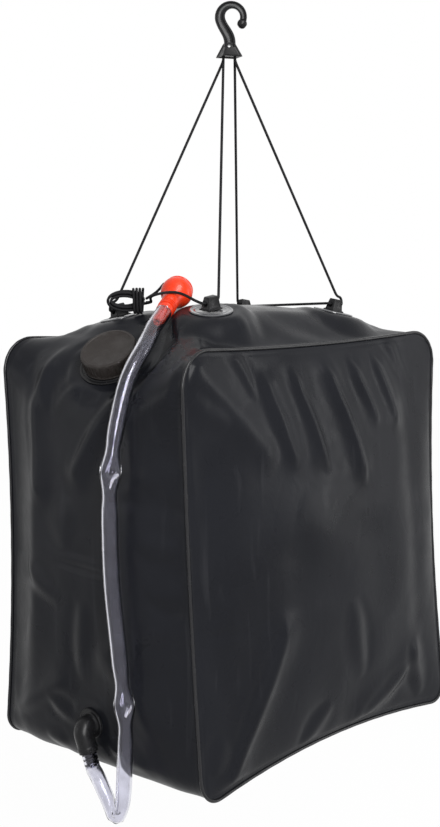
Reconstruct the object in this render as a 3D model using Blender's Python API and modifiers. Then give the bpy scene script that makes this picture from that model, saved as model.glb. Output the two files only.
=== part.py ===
"""Camp shower bag: a box of welded film that hangs by one cord from a moulded hook.

Metres, +Z up. The origin is where the hook bears on what holds it. The front panel faces -Y,
and the filler cap, the outlet and the hose are on the -X side.
"""
import math

import bmesh
import bpy
from mathutils import Matrix, Vector

# Shared fits
GAP = 0.0003
MERGE = 0.00001
OVERRUN = 0.004

# Bag, filled and hanging
BAG_WIDTH = 0.385
BAG_DEPTH = 0.252
BAG_HEIGHT = 0.400
HOOK_ABOVE_BAG = 0.3166
FILM = 0.0008
SEAM_TOP_RADIUS = 0.036
SEAM_BASE_RADIUS = 0.026
SHOULDER_RADIUS = 0.082
SIDE_BOW = 0.004
SIDE_BULGE = 0.013
BASE_BOW = 0.014
TOP_BOW = 0.006
FACE_BOW = 0.007
FRONT_LEAN = 0.012
REAR_LEAN = 0.0025
PANEL_CROWN = 0.016
BULGE_REACH = 0.060
PIPING_RADIUS = 0.0021

# Grid of the film
BASE_CUTS = 3
SIDE_CUTS = 9
TOP_CUTS = 16
SHOULDER_CUTS = 7
BASE_CORNER_CUTS = 3
FRONT_RING_SHARES = (0.0, 0.34, 0.60, 0.78, 0.90, 1.0)
REAR_RING_SHARES = (0.0, 0.34, 0.62, 0.84, 1.0)
ROW_SHARES = (-0.82, -0.64, -0.46, -0.27, -0.09, 0.09, 0.27, 0.46, 0.64, 0.82)

# Main folds of the film, in the plane of each face with heights above the base: start, end,
# half width and height outwards
FOLD_FADE = 0.016
FACE_EDGE = 0.110
TOP_EDGE = 0.350
FACE_BLEND = 0.030
FRONT_FOLDS = (
    ((-0.178, 0.385), (-0.100, 0.306), 0.016, 0.0045), ((-0.085, 0.380), (-0.061, 0.300), 0.013, 0.0042),
    ((-0.047, 0.385), (-0.024, 0.296), 0.013, 0.0040), ((0.002, 0.385), (0.038, 0.276), 0.014, 0.0048),
    ((0.042, 0.385), (0.068, 0.324), 0.013, 0.0036), ((0.082, 0.385), (0.106, 0.320), 0.014, 0.0040),
    ((-0.150, 0.024), (-0.086, 0.136), 0.018, 0.0044), ((0.126, 0.064), (0.040, 0.028), 0.015, 0.0034),
    ((0.131, 0.320), (0.140, 0.110), 0.018, -0.0030), ((-0.170, 0.310), (-0.166, 0.110), 0.014, -0.0026),
)
REAR_FOLDS = (
    ((-0.146, 0.385), (-0.120, 0.324), 0.015, 0.0036), ((-0.092, 0.385), (-0.076, 0.306), 0.014, 0.0040),
    ((-0.046, 0.385), (-0.056, 0.320), 0.014, 0.0032), ((0.000, 0.385), (-0.016, 0.298), 0.014, 0.0040),
    ((0.050, 0.385), (0.036, 0.318), 0.014, 0.0032), ((0.096, 0.385), (0.074, 0.304), 0.014, 0.0038),
    ((0.154, 0.032), (0.104, 0.112), 0.018, 0.0044), ((-0.156, 0.028), (-0.114, 0.098), 0.017, 0.0038),
)
LEFT_FOLDS = (
    ((0.063, 0.380), (0.061, 0.265), 0.014, 0.0038), ((-0.038, 0.350), (0.008, 0.286), 0.014, 0.0040),
    ((0.100, 0.040), (0.036, 0.078), 0.016, 0.0042), ((-0.064, 0.337), (-0.108, 0.374), 0.016, 0.0034),
    ((-0.032, 0.118), (-0.086, 0.064), 0.016, 0.0034), ((0.084, 0.295), (0.090, 0.155), 0.018, -0.0030),
    ((-0.085, 0.240), (-0.086, 0.112), 0.018, -0.0030),
)
RIGHT_FOLDS = (
    ((-0.098, 0.350), (-0.054, 0.290), 0.016, 0.0038), ((0.096, 0.348), (0.062, 0.284), 0.016, 0.0038),
    ((-0.024, 0.358), (-0.021, 0.266), 0.014, 0.0036), ((0.022, 0.362), (0.018, 0.284), 0.014, 0.0034),
    ((-0.090, 0.046), (-0.018, 0.094), 0.016, 0.0042), ((0.090, 0.042), (0.026, 0.100), 0.016, 0.0042),
)
TOP_FOLDS = (
    ((-0.064, -0.068), (0.000, -0.104), 0.015, 0.0030), ((0.060, -0.060), (-0.058, -0.058), 0.016, 0.0030),
    ((-0.056, 0.059), (0.054, 0.060), 0.016, 0.0030), ((0.066, 0.000), (-0.028, -0.003), 0.020, -0.0034),
)

# Hanging lugs on the top film, each named by its corner
LUG_X = 0.094
LUG_Y = 0.058
LUG_TILT = math.radians(9.0)
TOP_CROWN = 0.010
LUG_SIDES = {"front_left": (-1, -1), "front_right": (1, -1), "rear_left": (-1, 1), "rear_right": (1, 1)}
LUG_SLIPS = {"front_left": 0.0, "front_right": -0.0025, "rear_left": -0.004, "rear_right": -0.008}
LUG_RISES = {"front_left": 0.0275, "front_right": 0.0190, "rear_left": 0.0185, "rear_right": 0.0150}
PATCH_RADIUS = 0.0205
PATCH_THICKNESS = 0.0010
LUG_LENGTH = 0.0170
LUG_THICKNESS = 0.0112
LUG_HEIGHT = 0.0135
LUG_TOP_LENGTH = 0.0124
LUG_TOP_THICKNESS = 0.0078
LUG_ROUND = 0.0011
TUNNEL_RADIUS = 0.0026
TUNNEL_HEIGHT = 0.0060

# Filler neck and cap on the left shoulder
FILLER_INSET = 0.0310
FILLER_DROP = 0.0190
FILLER_Y = 0.002
FILLER_TILT = math.radians(37.0)
FILLER_TURN = math.radians(-17.0)
FLANGE_RADIUS = 0.0315
FLANGE_THICKNESS = 0.0016
NECK_RADIUS = 0.0226
NECK_BORE = 0.0196
NECK_HEIGHT = 0.0115
THREAD_PITCH = 0.0050
THREAD_RADIUS = 0.0009
THREAD_TURNS = 1.5
THREAD_CUTS = 20
CAP_RADIUS = 0.0262
CAP_HEIGHT = 0.0152
CAP_TOP = 0.0020
CAP_WALL = 0.0018
CAP_EDGE = 0.0012
CAP_RIBS = 18
CAP_RIB_RADIUS = 0.0012
GASKET_THICKNESS = 0.0014

# Outlet elbow low on the left side
OUTLET_HEIGHT = 0.049
OUTLET_Y = -0.0035
OUTLET_TURN = math.radians(15.0)
OUTLET_FLANGE_RADIUS = 0.0145
OUTLET_FLANGE = 0.0024
OUTLET_STANDOFF = 0.0125
ELBOW_RADIUS = 0.0092
ELBOW_DROP = 0.0240
SHANK_RADIUS = 0.0068
SHANK_LENGTH = 0.0130
WATER_BORE = 0.0030
WASHER_RADIUS = 0.0125
WASHER_THICKNESS = 0.0015
NUT_RADIUS = 0.0125
NUT_THICKNESS = 0.0060

# Hose and the barbs that it is pushed on
HOSE_RADIUS = 0.0077
HOSE_CUTS = 64
BARB_RADIUS = 0.0046
BARB_CREST = 0.0052
BARB_LENGTH = 0.0140
BARB_RINGS = 3

# Shower head, lying under the cord on the top film
HEAD_OUT = 0.0290
HEAD_Y = -0.0257
HEAD_LIFT = 0.0142
HEAD_PITCH = math.radians(26.0)
HEAD_TURN = math.radians(23.5)
HEAD_BARB_LENGTH = 0.0200
COLLAR_RADIUS = 0.0080
COLLAR_LENGTH = 0.0035
STEM_RADIUS = 0.0046
STEM_BORE = 0.0026
PORT_RADIUS = 0.0016
SLEEVE_RADIUS = 0.0073
NECK_LENGTH = 0.0345
PLUG_RADIUS = 0.0038
PLUG_LENGTH = 0.0040
SPRAY_TRAVEL = 0.0060
DOME_RADIUS = 0.0151
DOME_WALL = 0.0016
FACE_SHARE = 0.62
SPRAY_THICKNESS = 0.0016
SPRAY_HOLE_RADIUS = 0.0006
SPRAY_RING_SHARES = ((0.0, 1), (0.32, 5), (0.66, 10))
SEAL_WIRE = 0.0010

# Hook
HOOK_TURN = math.radians(-48.0)
BOW_RADIUS = 0.0115
BOW_TIP_THICKNESS = 0.0068
BOW_BACK_THICKNESS = 0.0102
SHANK_THICKNESS = 0.0114
HOOK_FLATNESS_SHARE = 0.74
BOW_START = math.radians(-28.0)
BOW_END = math.radians(200.0)
BALL_RADIUS = 0.0048
HOOK_NECK_R = -0.0018
HOOK_NECK_Z = -0.0330
HOOK_BASE_Z = -0.0465
HOOK_BASE_RADIUS = 0.0150
HOOK_NECK_RADIUS = 0.0066
HOOK_BASE_TURN = math.radians(65.0)
SADDLE_R = -0.0025
SADDLE_RADIUS = 0.0056
SADDLE_Z = -0.0440
SADDLE_OFFSET = 0.0022
SADDLE_EXIT = 0.0034
HOOK_EYE_RADIUS = 0.0015
HOOK_EYE_Z = -0.0362

# Cord
CORD_RADIUS = 0.0013
CORD_CLEARANCE = 0.0003
CORD_BEND = 0.0040
BEND_CUTS = 3
LINK_CUTS = 12
GENTLE = math.radians(30.0)
HANK_TURNS = 4
HANK_CUTS = 24
HANK_HALF_LENGTH = 0.0150
HANK_HALF_HEIGHT = 0.0070
HANK_STEP = 0.0031
HANK_OUT = 0.0190
HANK_ALONG = 0.0060
HANK_LIFT = 0.0175
TIE_TURNS = 3
TIE_START = 0.0080
TAIL_LENGTH = 0.022

# Route of the hose from the elbow round its low fold and up over the shoulder, with
# heights above the bag's base
HOSE_ROUTE = (
    (-0.2150, -0.0292, 0.0080), (-0.2157, -0.0405, -0.0055), (-0.2166, -0.0499, -0.0150),
    (-0.2183, -0.0571, -0.0180), (-0.2172, -0.0632, -0.0050), (-0.2162, -0.0648, 0.0200),
    (-0.2152, -0.0656, 0.0530), (-0.2157, -0.0648, 0.0851), (-0.2172, -0.0590, 0.1432),
    (-0.2195, -0.0548, 0.1950), (-0.2205, -0.0540, 0.2504), (-0.2194, -0.0538, 0.2875),
    (-0.2151, -0.0539, 0.3170), (-0.2080, -0.0550, 0.3469), (-0.1975, -0.0533, 0.3712),
    (-0.1844, -0.0513, 0.3869), (-0.1680, -0.0470, 0.4000),
)

BASE_Z = -(BAG_HEIGHT + HOOK_ABOVE_BAG)
INSET = PIPING_RADIUS + GAP
LUG_SEAT = GAP + PATCH_THICKNESS + GAP
CORD_IN_TUNNEL = LUG_SEAT + TUNNEL_HEIGHT + TUNNEL_RADIUS - CORD_RADIUS - GAP
MOUTH = LUG_LENGTH / 2 + CORD_RADIUS + GAP
FULL_TURN = 2.0 * math.pi

# A clean scene with one collection for the parts and one for the cutters
for item in list(bpy.data.objects):
    bpy.data.objects.remove(item, do_unlink=True)
parts = bpy.data.collections.new("camp_shower_bag")
cutters = bpy.data.collections.new("cutters")
bpy.context.scene.collection.children.link(parts)
bpy.context.scene.collection.children.link(cutters)


# Materials

def paint(name, colour, roughness, alpha=1.0):
    """A plain material with the photographed colour."""
    material = bpy.data.materials.new(name)
    material.use_nodes = True
    shader = material.node_tree.nodes["Principled BSDF"]
    shader.inputs["Base Color"].default_value = (*colour, 1.0)
    shader.inputs["Roughness"].default_value = roughness
    shader.inputs["Metallic"].default_value = 0.0
    shader.inputs["Alpha"].default_value = alpha
    return material


BLACK_FILM = paint("black_film", (0.036, 0.037, 0.040), 0.45)
BLACK_WELD = paint("black_weld", (0.020, 0.020, 0.022), 0.35)
CLEAR_PATCH = paint("clear_patch", (0.14, 0.14, 0.15), 0.20)
BLACK_PLASTIC = paint("black_plastic", (0.015, 0.015, 0.016), 0.40)
CAP_PLASTIC = paint("cap_plastic", (0.045, 0.040, 0.038), 0.50)
SEAL_RUBBER = paint("seal_rubber", (0.02, 0.02, 0.02), 0.70)
CLEAR_HOSE = paint("clear_hose", (0.62, 0.60, 0.70), 0.12, 0.45)
HEAD_PLASTIC = paint("head_plastic", (0.95, 0.10, 0.02), 0.30)
CORD_BRAID = paint("cord_braid", (0.012, 0.012, 0.013), 0.80)


# Tools for building pieces

def ease(share):
    """0 to 1 with level ends."""
    share = min(1.0, max(0.0, share))
    return share * share * (3.0 - 2.0 * share)


def hump(share):
    """0 at both ends, 1 in the middle."""
    share = min(1.0, max(0.0, share))
    return 4.0 * share * (1.0 - share)


def frame_at(origin, up, ahead):
    """A frame at origin with +Z along up and +X as near as can be to ahead."""
    z_axis = up.normalized()
    x_axis = (ahead - z_axis * ahead.dot(z_axis)).normalized()
    y_axis = z_axis.cross(x_axis)
    turn = Matrix((x_axis, y_axis, z_axis)).transposed().to_4x4()
    return Matrix.Translation(origin) @ turn


def pivot(name, matrix):
    """An empty that carries the pieces on one axis."""
    empty = bpy.data.objects.new(name, None)
    empty.matrix_world = matrix
    parts.objects.link(empty)
    return empty


def place(name, data, material, parent=None, guide=False):
    """Puts one piece, or one cutter, in the scene."""
    item = bpy.data.objects.new(name, data)
    item.parent = parent
    if guide:
        item.hide_render = True
        item.display_type = "WIRE"
        cutters.objects.link(item)
    else:
        data.materials.append(material)
        parts.objects.link(item)
    return item


def mesh_of(work, name):
    """A mesh data-block from a bmesh."""
    mesh = bpy.data.meshes.new(name)
    work.to_mesh(mesh)
    work.free()
    return mesh


def sheet(name, cuts_u, cuts_v, shape, thickness, material):
    """A grid whose points are set by shape(u, v), with a wall on its inner side."""
    work = bmesh.new()
    bmesh.ops.create_grid(work, x_segments=cuts_u, y_segments=cuts_v, size=0.5)
    for vertex in work.verts:
        vertex.co = shape(round((vertex.co.x + 0.5) * cuts_u), round((vertex.co.y + 0.5) * cuts_v))
    bmesh.ops.remove_doubles(work, verts=work.verts, dist=MERGE)
    item = place(name, mesh_of(work, name), material)
    item.data.shade_smooth()
    wall = item.modifiers.new("Wall", "SOLIDIFY")
    wall.thickness = thickness
    wall.offset = -1.0
    return item


def turned(name, profile, cuts, material=None, parent=None, guide=False):
    """A profile of (radius, height) turned about +Z: open on the axis, else a closed ring."""
    count = len(profile)
    edges = [(index, index + 1) for index in range(count - 1)]
    if profile[0][0] > 0.0:
        edges.append((count - 1, 0))
    mesh = bpy.data.meshes.new(name)
    mesh.from_pydata([(radius, 0.0, height) for radius, height in profile], edges, [])
    item = place(name, mesh, material, parent, guide)
    spin = item.modifiers.new("Turn", "SCREW")
    spin.steps = cuts
    spin.render_steps = cuts
    spin.use_merge_vertices = True
    spin.merge_threshold = MERGE
    return item


def rod(name, radius, low, high, parent, cuts=24, axis="Z", material=None):
    """A round cutter, core or disc from low to high along an axis of its parent."""
    work = bmesh.new()
    bmesh.ops.create_cone(work, cap_ends=True, segments=cuts, radius1=radius, radius2=radius, depth=high - low)
    bmesh.ops.translate(work, verts=work.verts, vec=(0.0, 0.0, (low + high) / 2))
    if axis == "X":
        bmesh.ops.rotate(work, verts=work.verts, matrix=Matrix.Rotation(math.pi / 2, 3, "Y"))
    if axis == "Y":
        bmesh.ops.rotate(work, verts=work.verts, matrix=Matrix.Rotation(-math.pi / 2, 3, "X"))
    return place(name, mesh_of(work, name), material, parent, guide=material is None)


def tube(name, points, radius, material=None, cyclic=False, sides=2, radii=None, parent=None, guide=False):
    """A round tube with closed ends along points."""
    curve = bpy.data.curves.new(name, "CURVE")
    curve.dimensions = "3D"
    curve.bevel_depth = radius
    curve.bevel_resolution = sides
    curve.use_fill_caps = not cyclic
    run = curve.splines.new("POLY")
    run.points.add(len(points) - 1)
    for index, point in enumerate(points):
        run.points[index].co = (*point, 1.0)
        if radii:
            run.points[index].radius = radii[index] / radius
    run.use_cyclic_u = cyclic
    return place(name, curve, material, parent, guide)


def as_mesh(item, flatness_share=1.0):
    """The mesh of a curve object, with its caps welded, in the curve's place."""
    name = item.name
    bpy.context.view_layer.update()
    graph = bpy.context.evaluated_depsgraph_get()
    mesh = bpy.data.meshes.new_from_object(item.evaluated_get(graph))
    work = bmesh.new()
    work.from_mesh(mesh)
    bmesh.ops.remove_doubles(work, verts=work.verts, dist=MERGE)
    for vertex in work.verts:
        vertex.co.y *= flatness_share
    work.to_mesh(mesh)
    work.free()
    home = item.users_collection[0]
    guide = item.hide_render
    matrix = item.matrix_world.copy()
    bpy.data.objects.remove(item, do_unlink=True)
    solid = bpy.data.objects.new(name, mesh)
    solid.matrix_world = matrix
    solid.hide_render = guide
    solid.display_type = "WIRE" if guide else "TEXTURED"
    home.objects.link(solid)
    return solid


def combine(item, other, operation):
    """Cuts other out of item, or joins it on."""
    step = item.modifiers.new(operation.title() + " " + other.name, "BOOLEAN")
    step.operation = operation
    step.object = other
    step.solver = "EXACT"


def rounded(points, bend, cuts):
    """The points with each corner replaced by a short curve."""
    result = [Vector(points[0])]
    for before, corner, after in zip(points, points[1:], points[2:]):
        if (corner - before).angle(after - corner) < GENTLE:
            result.append(corner)
            continue
        reach_in = min(bend, (before - corner).length / 2)
        reach_out = min(bend, (after - corner).length / 2)
        start = corner + (before - corner).normalized() * reach_in
        end = corner + (after - corner).normalized() * reach_out
        for step in range(cuts + 1):
            share = step / cuts
            result.append(start.lerp(corner, share).lerp(corner.lerp(end, share), share))
    result.append(Vector(points[-1]))
    return result


def smooth_run(points, count):
    """Evenly spaced points on a smooth curve through points, whose first and last runs stay straight."""
    fine = []
    for p0, p1, p2, p3 in zip(points, points[1:], points[2:], points[3:]):
        for step in range(16):
            t = step / 16
            fine.append(0.5 * (2.0 * p1 + (p2 - p0) * t + (2.0 * p0 - 5.0 * p1 + 4.0 * p2 - p3) * t ** 2
                               + (3.0 * p1 - p0 - 3.0 * p2 + p3) * t ** 3))
    fine.append(points[-2])
    lengths = [0.0]
    for first, second in zip(fine, fine[1:]):
        lengths.append(lengths[-1] + (second - first).length)
    run = [points[0]]
    index = 0
    for step in range(count + 1):
        target = lengths[-1] * step / count
        while index < len(fine) - 2 and lengths[index + 1] < target:
            index += 1
        span = lengths[index + 1] - lengths[index]
        run.append(fine[index].lerp(fine[index + 1], (target - lengths[index]) / span))
    return [*run, points[-1]]


# Bag shape

def outline(top_radius, base_radius):
    """(x, z, normal x, normal z) round a panel, clockwise from the front, from mid base."""
    half = BAG_WIDTH / 2
    corners = ((-half, 0.0, base_radius, BASE_CORNER_CUTS), (-half, BAG_HEIGHT, top_radius, SHOULDER_CUTS),
               (half, BAG_HEIGHT, top_radius, SHOULDER_CUTS), (half, 0.0, base_radius, BASE_CORNER_CUTS))
    runs = (BASE_CUTS, SIDE_CUTS, TOP_CUTS, SIDE_CUTS)
    points = []
    last = (0.0, 0.0)
    for number, (corner_x, corner_z, radius, cuts) in enumerate(corners):
        centre_x = corner_x - math.copysign(radius, corner_x)
        centre_z = corner_z + radius if corner_z == 0.0 else corner_z - radius
        first = -math.pi / 2 * (number + 1)
        arc_x = centre_x + radius * math.cos(first)
        arc_z = centre_z + radius * math.sin(first)
        for step in range(runs[number]):
            share = step / runs[number]
            points.append((last[0] + (arc_x - last[0]) * share, last[1] + (arc_z - last[1]) * share,
                           math.cos(first), math.sin(first)))
        for step in range(cuts + 1):
            angle = first - math.pi / 2 * step / cuts
            normal_x = math.cos(angle)
            normal_z = math.sin(angle)
            points.append((centre_x + radius * normal_x, centre_z + radius * normal_z, normal_x, normal_z))
        last = points.pop()
    for step in range(BASE_CUTS + 1):
        points.append((last[0] * (1.0 - step / BASE_CUTS), 0.0, 0.0, -1.0))
    return points


def bowed(x, z, seam_share):
    """Draws the sides in at the seams and lets them bulge between the seams."""
    high = z / BAG_HEIGHT
    side = (SIDE_BULGE * (1.0 - seam_share) - SIDE_BOW * seam_share) * hump(high)
    middle = hump(x / BAG_WIDTH + 0.5) * seam_share
    return x + 2.0 * x / BAG_WIDTH * side, z + (BASE_BOW * (1.0 - high) - TOP_BOW * high) * middle


def tent(x, y, seam=BAG_DEPTH / 2):
    """Rise of the top film above its seams, which lie at depth seam, drawn up by the lugs."""
    across = min(1.0, max(0.0, (BAG_WIDTH / 2 - abs(x)) / (BAG_WIDTH / 2 - LUG_X))) ** 2
    deep = ease((seam - abs(y)) / (seam - LUG_Y))
    right = min(1.0, max(0.0, x / (2.0 * LUG_X) + 0.5))
    back = min(1.0, max(0.0, y / (2.0 * LUG_Y) + 0.5))
    front_rise = LUG_RISES["front_left"] * (1.0 - right) + LUG_RISES["front_right"] * right
    rear_rise = LUG_RISES["rear_left"] * (1.0 - right) + LUG_RISES["rear_right"] * right
    rise = front_rise * (1.0 - back) + rear_rise * back
    return (rise + TOP_CROWN * hump(back) * hump(right)) * across * deep


def top_height(x, y):
    """Height of the top film in the object's frame, between the shoulders."""
    return BASE_Z + BAG_HEIGHT + tent(x, y)


def seam_y(x, z, side):
    """Depth of the front (-1) or rear (1) seam."""
    lean = FRONT_LEAN if side < 0 else -REAR_LEAN
    draw = FACE_BOW * min(1.0, hump(z / BAG_HEIGHT) + hump(x / BAG_WIDTH + 0.5))
    return side * (BAG_DEPTH / 2 - draw) + lean * (2.0 * z / BAG_HEIGHT - 1.0)


SEAM = outline(SEAM_TOP_RADIUS, SEAM_BASE_RADIUS)
SEAM_COUNT = len(SEAM) - 1


def seam_point(index, side):
    """One point of a seam's middle line."""
    x, z = bowed(SEAM[index][0], SEAM[index][1], 1.0)
    return Vector((x, seam_y(SEAM[index][0], SEAM[index][1], side), BASE_Z + z))


def lug_frame(name):
    """Frame of one lug on the film, tilted outwards."""
    side_x, side_y = LUG_SIDES[name]
    x = side_x * LUG_X + LUG_SLIPS[name]
    y = side_y * LUG_Y
    up = Vector((side_x * math.sin(LUG_TILT), side_y * math.sin(LUG_TILT), math.cos(LUG_TILT)))
    return frame_at(Vector((x, y, top_height(x, y))), up, Vector((1.0, 0.0, 0.0)))


FILLER_UP = Vector((-math.sin(FILLER_TILT) * math.cos(FILLER_TURN), math.sin(FILLER_TILT) * math.sin(FILLER_TURN),
                    math.cos(FILLER_TILT)))
FILLER_PLACE = Vector((-BAG_WIDTH / 2 + FILLER_INSET, FILLER_Y, BASE_Z + BAG_HEIGHT - FILLER_DROP))
FILLER_FRAME = frame_at(FILLER_PLACE, FILLER_UP, Vector((0.0, -1.0, 0.0)))
OUTLET_X = bowed(-BAG_WIDTH / 2, OUTLET_HEIGHT, 0.0)[0]
OUTLET_PLACE = Vector((OUTLET_X, OUTLET_Y, BASE_Z + OUTLET_HEIGHT))
OUTLET_SLOPE = 4.0 * SIDE_BULGE / BAG_HEIGHT * (1.0 - 2.0 * OUTLET_HEIGHT / BAG_HEIGHT)
OUTLET_FRAME = frame_at(OUTLET_PLACE, Vector((-1.0, 0.0, -OUTLET_SLOPE)),
                        Vector((0.0, -math.sin(OUTLET_TURN), -math.cos(OUTLET_TURN))))
LUG_FRAMES = {name: lug_frame(name) for name in LUG_SIDES}

# Places where the film is pulled flat under a fitting: frame, flat radius and blend
ROW_STEP = BAG_DEPTH / 2 * (ROW_SHARES[3] - ROW_SHARES[2])
PADS = [(frame, PATCH_RADIUS + ROW_STEP / 2, PATCH_RADIUS) for frame in LUG_FRAMES.values()]
PADS += [(FILLER_FRAME, FLANGE_RADIUS + ROW_STEP / 2, FLANGE_RADIUS)]
PADS += [(OUTLET_FRAME, OUTLET_FLANGE_RADIUS + ROW_STEP / 2, OUTLET_FLANGE_RADIUS)]


def seated(point):
    """Flattens the film round each fitting."""
    for frame, flat, blend in PADS:
        local = frame.inverted() @ point
        if abs(local.z) < flat:
            reach = Vector((local.x, local.y)).length
            local.z *= 1.0 - ease((flat + blend - reach) / blend)
            point = frame @ local
    return point


SHOULDERS = [outline(SEAM_TOP_RADIUS + (SHOULDER_RADIUS - SEAM_TOP_RADIUS) * (1.0 - share ** 2), SEAM_BASE_RADIUS)
             for share in ROW_SHARES]


def fold_lift(folds, u, v):
    """How far the main folds of one face lift the film at a place in that face's plane."""
    lift = 0.0
    for start, end, width, height in folds:
        run_u = end[0] - start[0]
        run_v = end[1] - start[1]
        share = ((u - start[0]) * run_u + (v - start[1]) * run_v) / (run_u ** 2 + run_v ** 2)
        share = min(1.0, max(0.0, share))
        away = math.hypot(u - start[0] - share * run_u, v - start[1] - share * run_v)
        lift += height * math.exp(-(away / width) ** 2)
    return lift


def gusset_point(index, row):
    """A point of the strip that wraps the sides, the top and the base."""
    if row in (0, len(ROW_SHARES) + 1):
        side = -1 if row == 0 else 1
        return seam_point(index, side) - Vector((0.0, side * INSET, 0.0))
    share = ROW_SHARES[row - 1]
    y = BAG_DEPTH / 2 * share
    seam_share = 1.0 - ease((BAG_DEPTH / 2 - abs(y)) / BULGE_REACH)
    flat_x, flat_z, normal_x, normal_z = SHOULDERS[row - 1][index]
    x, z = bowed(flat_x, flat_z, seam_share)
    seam = abs(seam_y(SEAM[index][0], SEAM[index][1], -1 if y < 0.0 else 1))
    if flat_z > BAG_HEIGHT / 2:
        z += tent(flat_x, y, seam)
    lift = ease((-x - FACE_EDGE) / FACE_BLEND) * fold_lift(LEFT_FOLDS, y, z)
    lift += ease((x - FACE_EDGE) / FACE_BLEND) * fold_lift(RIGHT_FOLDS, y, z)
    lift += ease((z - TOP_EDGE) / FACE_BLEND) * fold_lift(TOP_FOLDS, x, y)
    if flat_z == 0.0:
        lift = 0.0
    lift *= ease((seam - abs(y)) / FOLD_FADE)
    return seated(Vector((x + normal_x * lift, y, BASE_Z + z + normal_z * lift)))


def panel_point(index, share, side):
    """A point of the front (-1) or rear (1) panel, at a share of the way from its middle to its seam."""
    edge_x = SEAM[index][0] - SEAM[index][2] * INSET
    edge_z = SEAM[index][1] - SEAM[index][3] * INSET
    x, z = bowed(edge_x, edge_z, 1.0)
    middle_z = BAG_HEIGHT / 2
    if share == 1.0:
        return Vector((x, seam_y(SEAM[index][0], SEAM[index][1], side), BASE_Z + z))
    across = x / (BAG_WIDTH / 2)
    high = (z - middle_z) / middle_z
    most = max(abs(across), abs(high))
    rise = ((1.0 - (share * across / most) ** 2) * (1.0 - (share * high / most) ** 2)) ** 0.75
    x *= share
    z = middle_z + (z - middle_z) * share
    lean = FRONT_LEAN if side < 0 else -REAR_LEAN
    leaning = side * BAG_DEPTH / 2 + lean * (2.0 * z / BAG_HEIGHT - 1.0)
    draw = leaning - seam_y(x, z, side)
    fold = fold_lift(FRONT_FOLDS, x, z) if side < 0 else fold_lift(REAR_FOLDS, -x, z)
    fold *= ease((1.0 - share) * BAG_WIDTH / 2 / FOLD_FADE)
    y = leaning - draw * (1.0 - rise) ** 1.5 + side * (PANEL_CROWN * rise + fold)
    return Vector((x, y, BASE_Z + z))


# Film bag

def film_bag():
    """Front and rear panels, the wrap between them and the welded piping."""
    sheet("front_panel", SEAM_COUNT, len(FRONT_RING_SHARES) - 1,
          lambda i, j: panel_point(i, FRONT_RING_SHARES[j], -1), FILM, BLACK_FILM)
    sheet("rear_panel", SEAM_COUNT, len(REAR_RING_SHARES) - 1,
          lambda i, j: panel_point(SEAM_COUNT - i, REAR_RING_SHARES[j], 1), FILM, BLACK_FILM)
    wrap = sheet("gusset_wrap", SEAM_COUNT, len(ROW_SHARES) + 1, gusset_point, FILM, BLACK_FILM)
    combine(wrap, rod("neck_hole", NECK_BORE, -OVERRUN, OVERRUN, filler_axis, 32), "DIFFERENCE")
    combine(wrap, rod("outlet_hole", SHANK_RADIUS + GAP, -OVERRUN, OVERRUN, outlet_axis), "DIFFERENCE")
    for name, side in (("front_piping", -1), ("rear_piping", 1)):
        ring = [seam_point(index, side) for index in range(SEAM_COUNT)]
        tube(name, ring, PIPING_RADIUS, BLACK_WELD, cyclic=True, sides=1)


# Lugs

def lugs():
    """Four welded patches, each with a moulded loop."""
    for name, frame in LUG_FRAMES.items():
        axis = pivot("lug_axis_" + name, frame)
        edge = PATCH_THICKNESS / 2
        top = GAP + PATCH_THICKNESS
        turned("lug_patch_" + name, ((0.0, top), (PATCH_RADIUS - edge, top), (PATCH_RADIUS, GAP + edge),
                                     (PATCH_RADIUS, GAP), (0.0, GAP)), 24, CLEAR_PATCH, axis)
        work = bmesh.new()
        bmesh.ops.create_cube(work, size=1.0)
        for vertex in work.verts:
            high = vertex.co.z > 0.0
            vertex.co.x *= LUG_TOP_LENGTH if high else LUG_LENGTH
            vertex.co.y *= LUG_TOP_THICKNESS if high else LUG_THICKNESS
            vertex.co.z = LUG_SEAT + (LUG_HEIGHT if high else 0.0)
        loop = place("lug_loop_" + name, mesh_of(work, "lug_loop_" + name), BLACK_PLASTIC, axis)
        rim = loop.modifiers.new("Round", "BEVEL")
        rim.width = LUG_ROUND
        rim.segments = 2
        hole = rod("tunnel_" + name, TUNNEL_RADIUS, -LUG_LENGTH, LUG_LENGTH, axis, 12, "X")
        hole.location.z = LUG_SEAT + TUNNEL_HEIGHT
        combine(loop, hole, "DIFFERENCE")


# Filler

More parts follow.
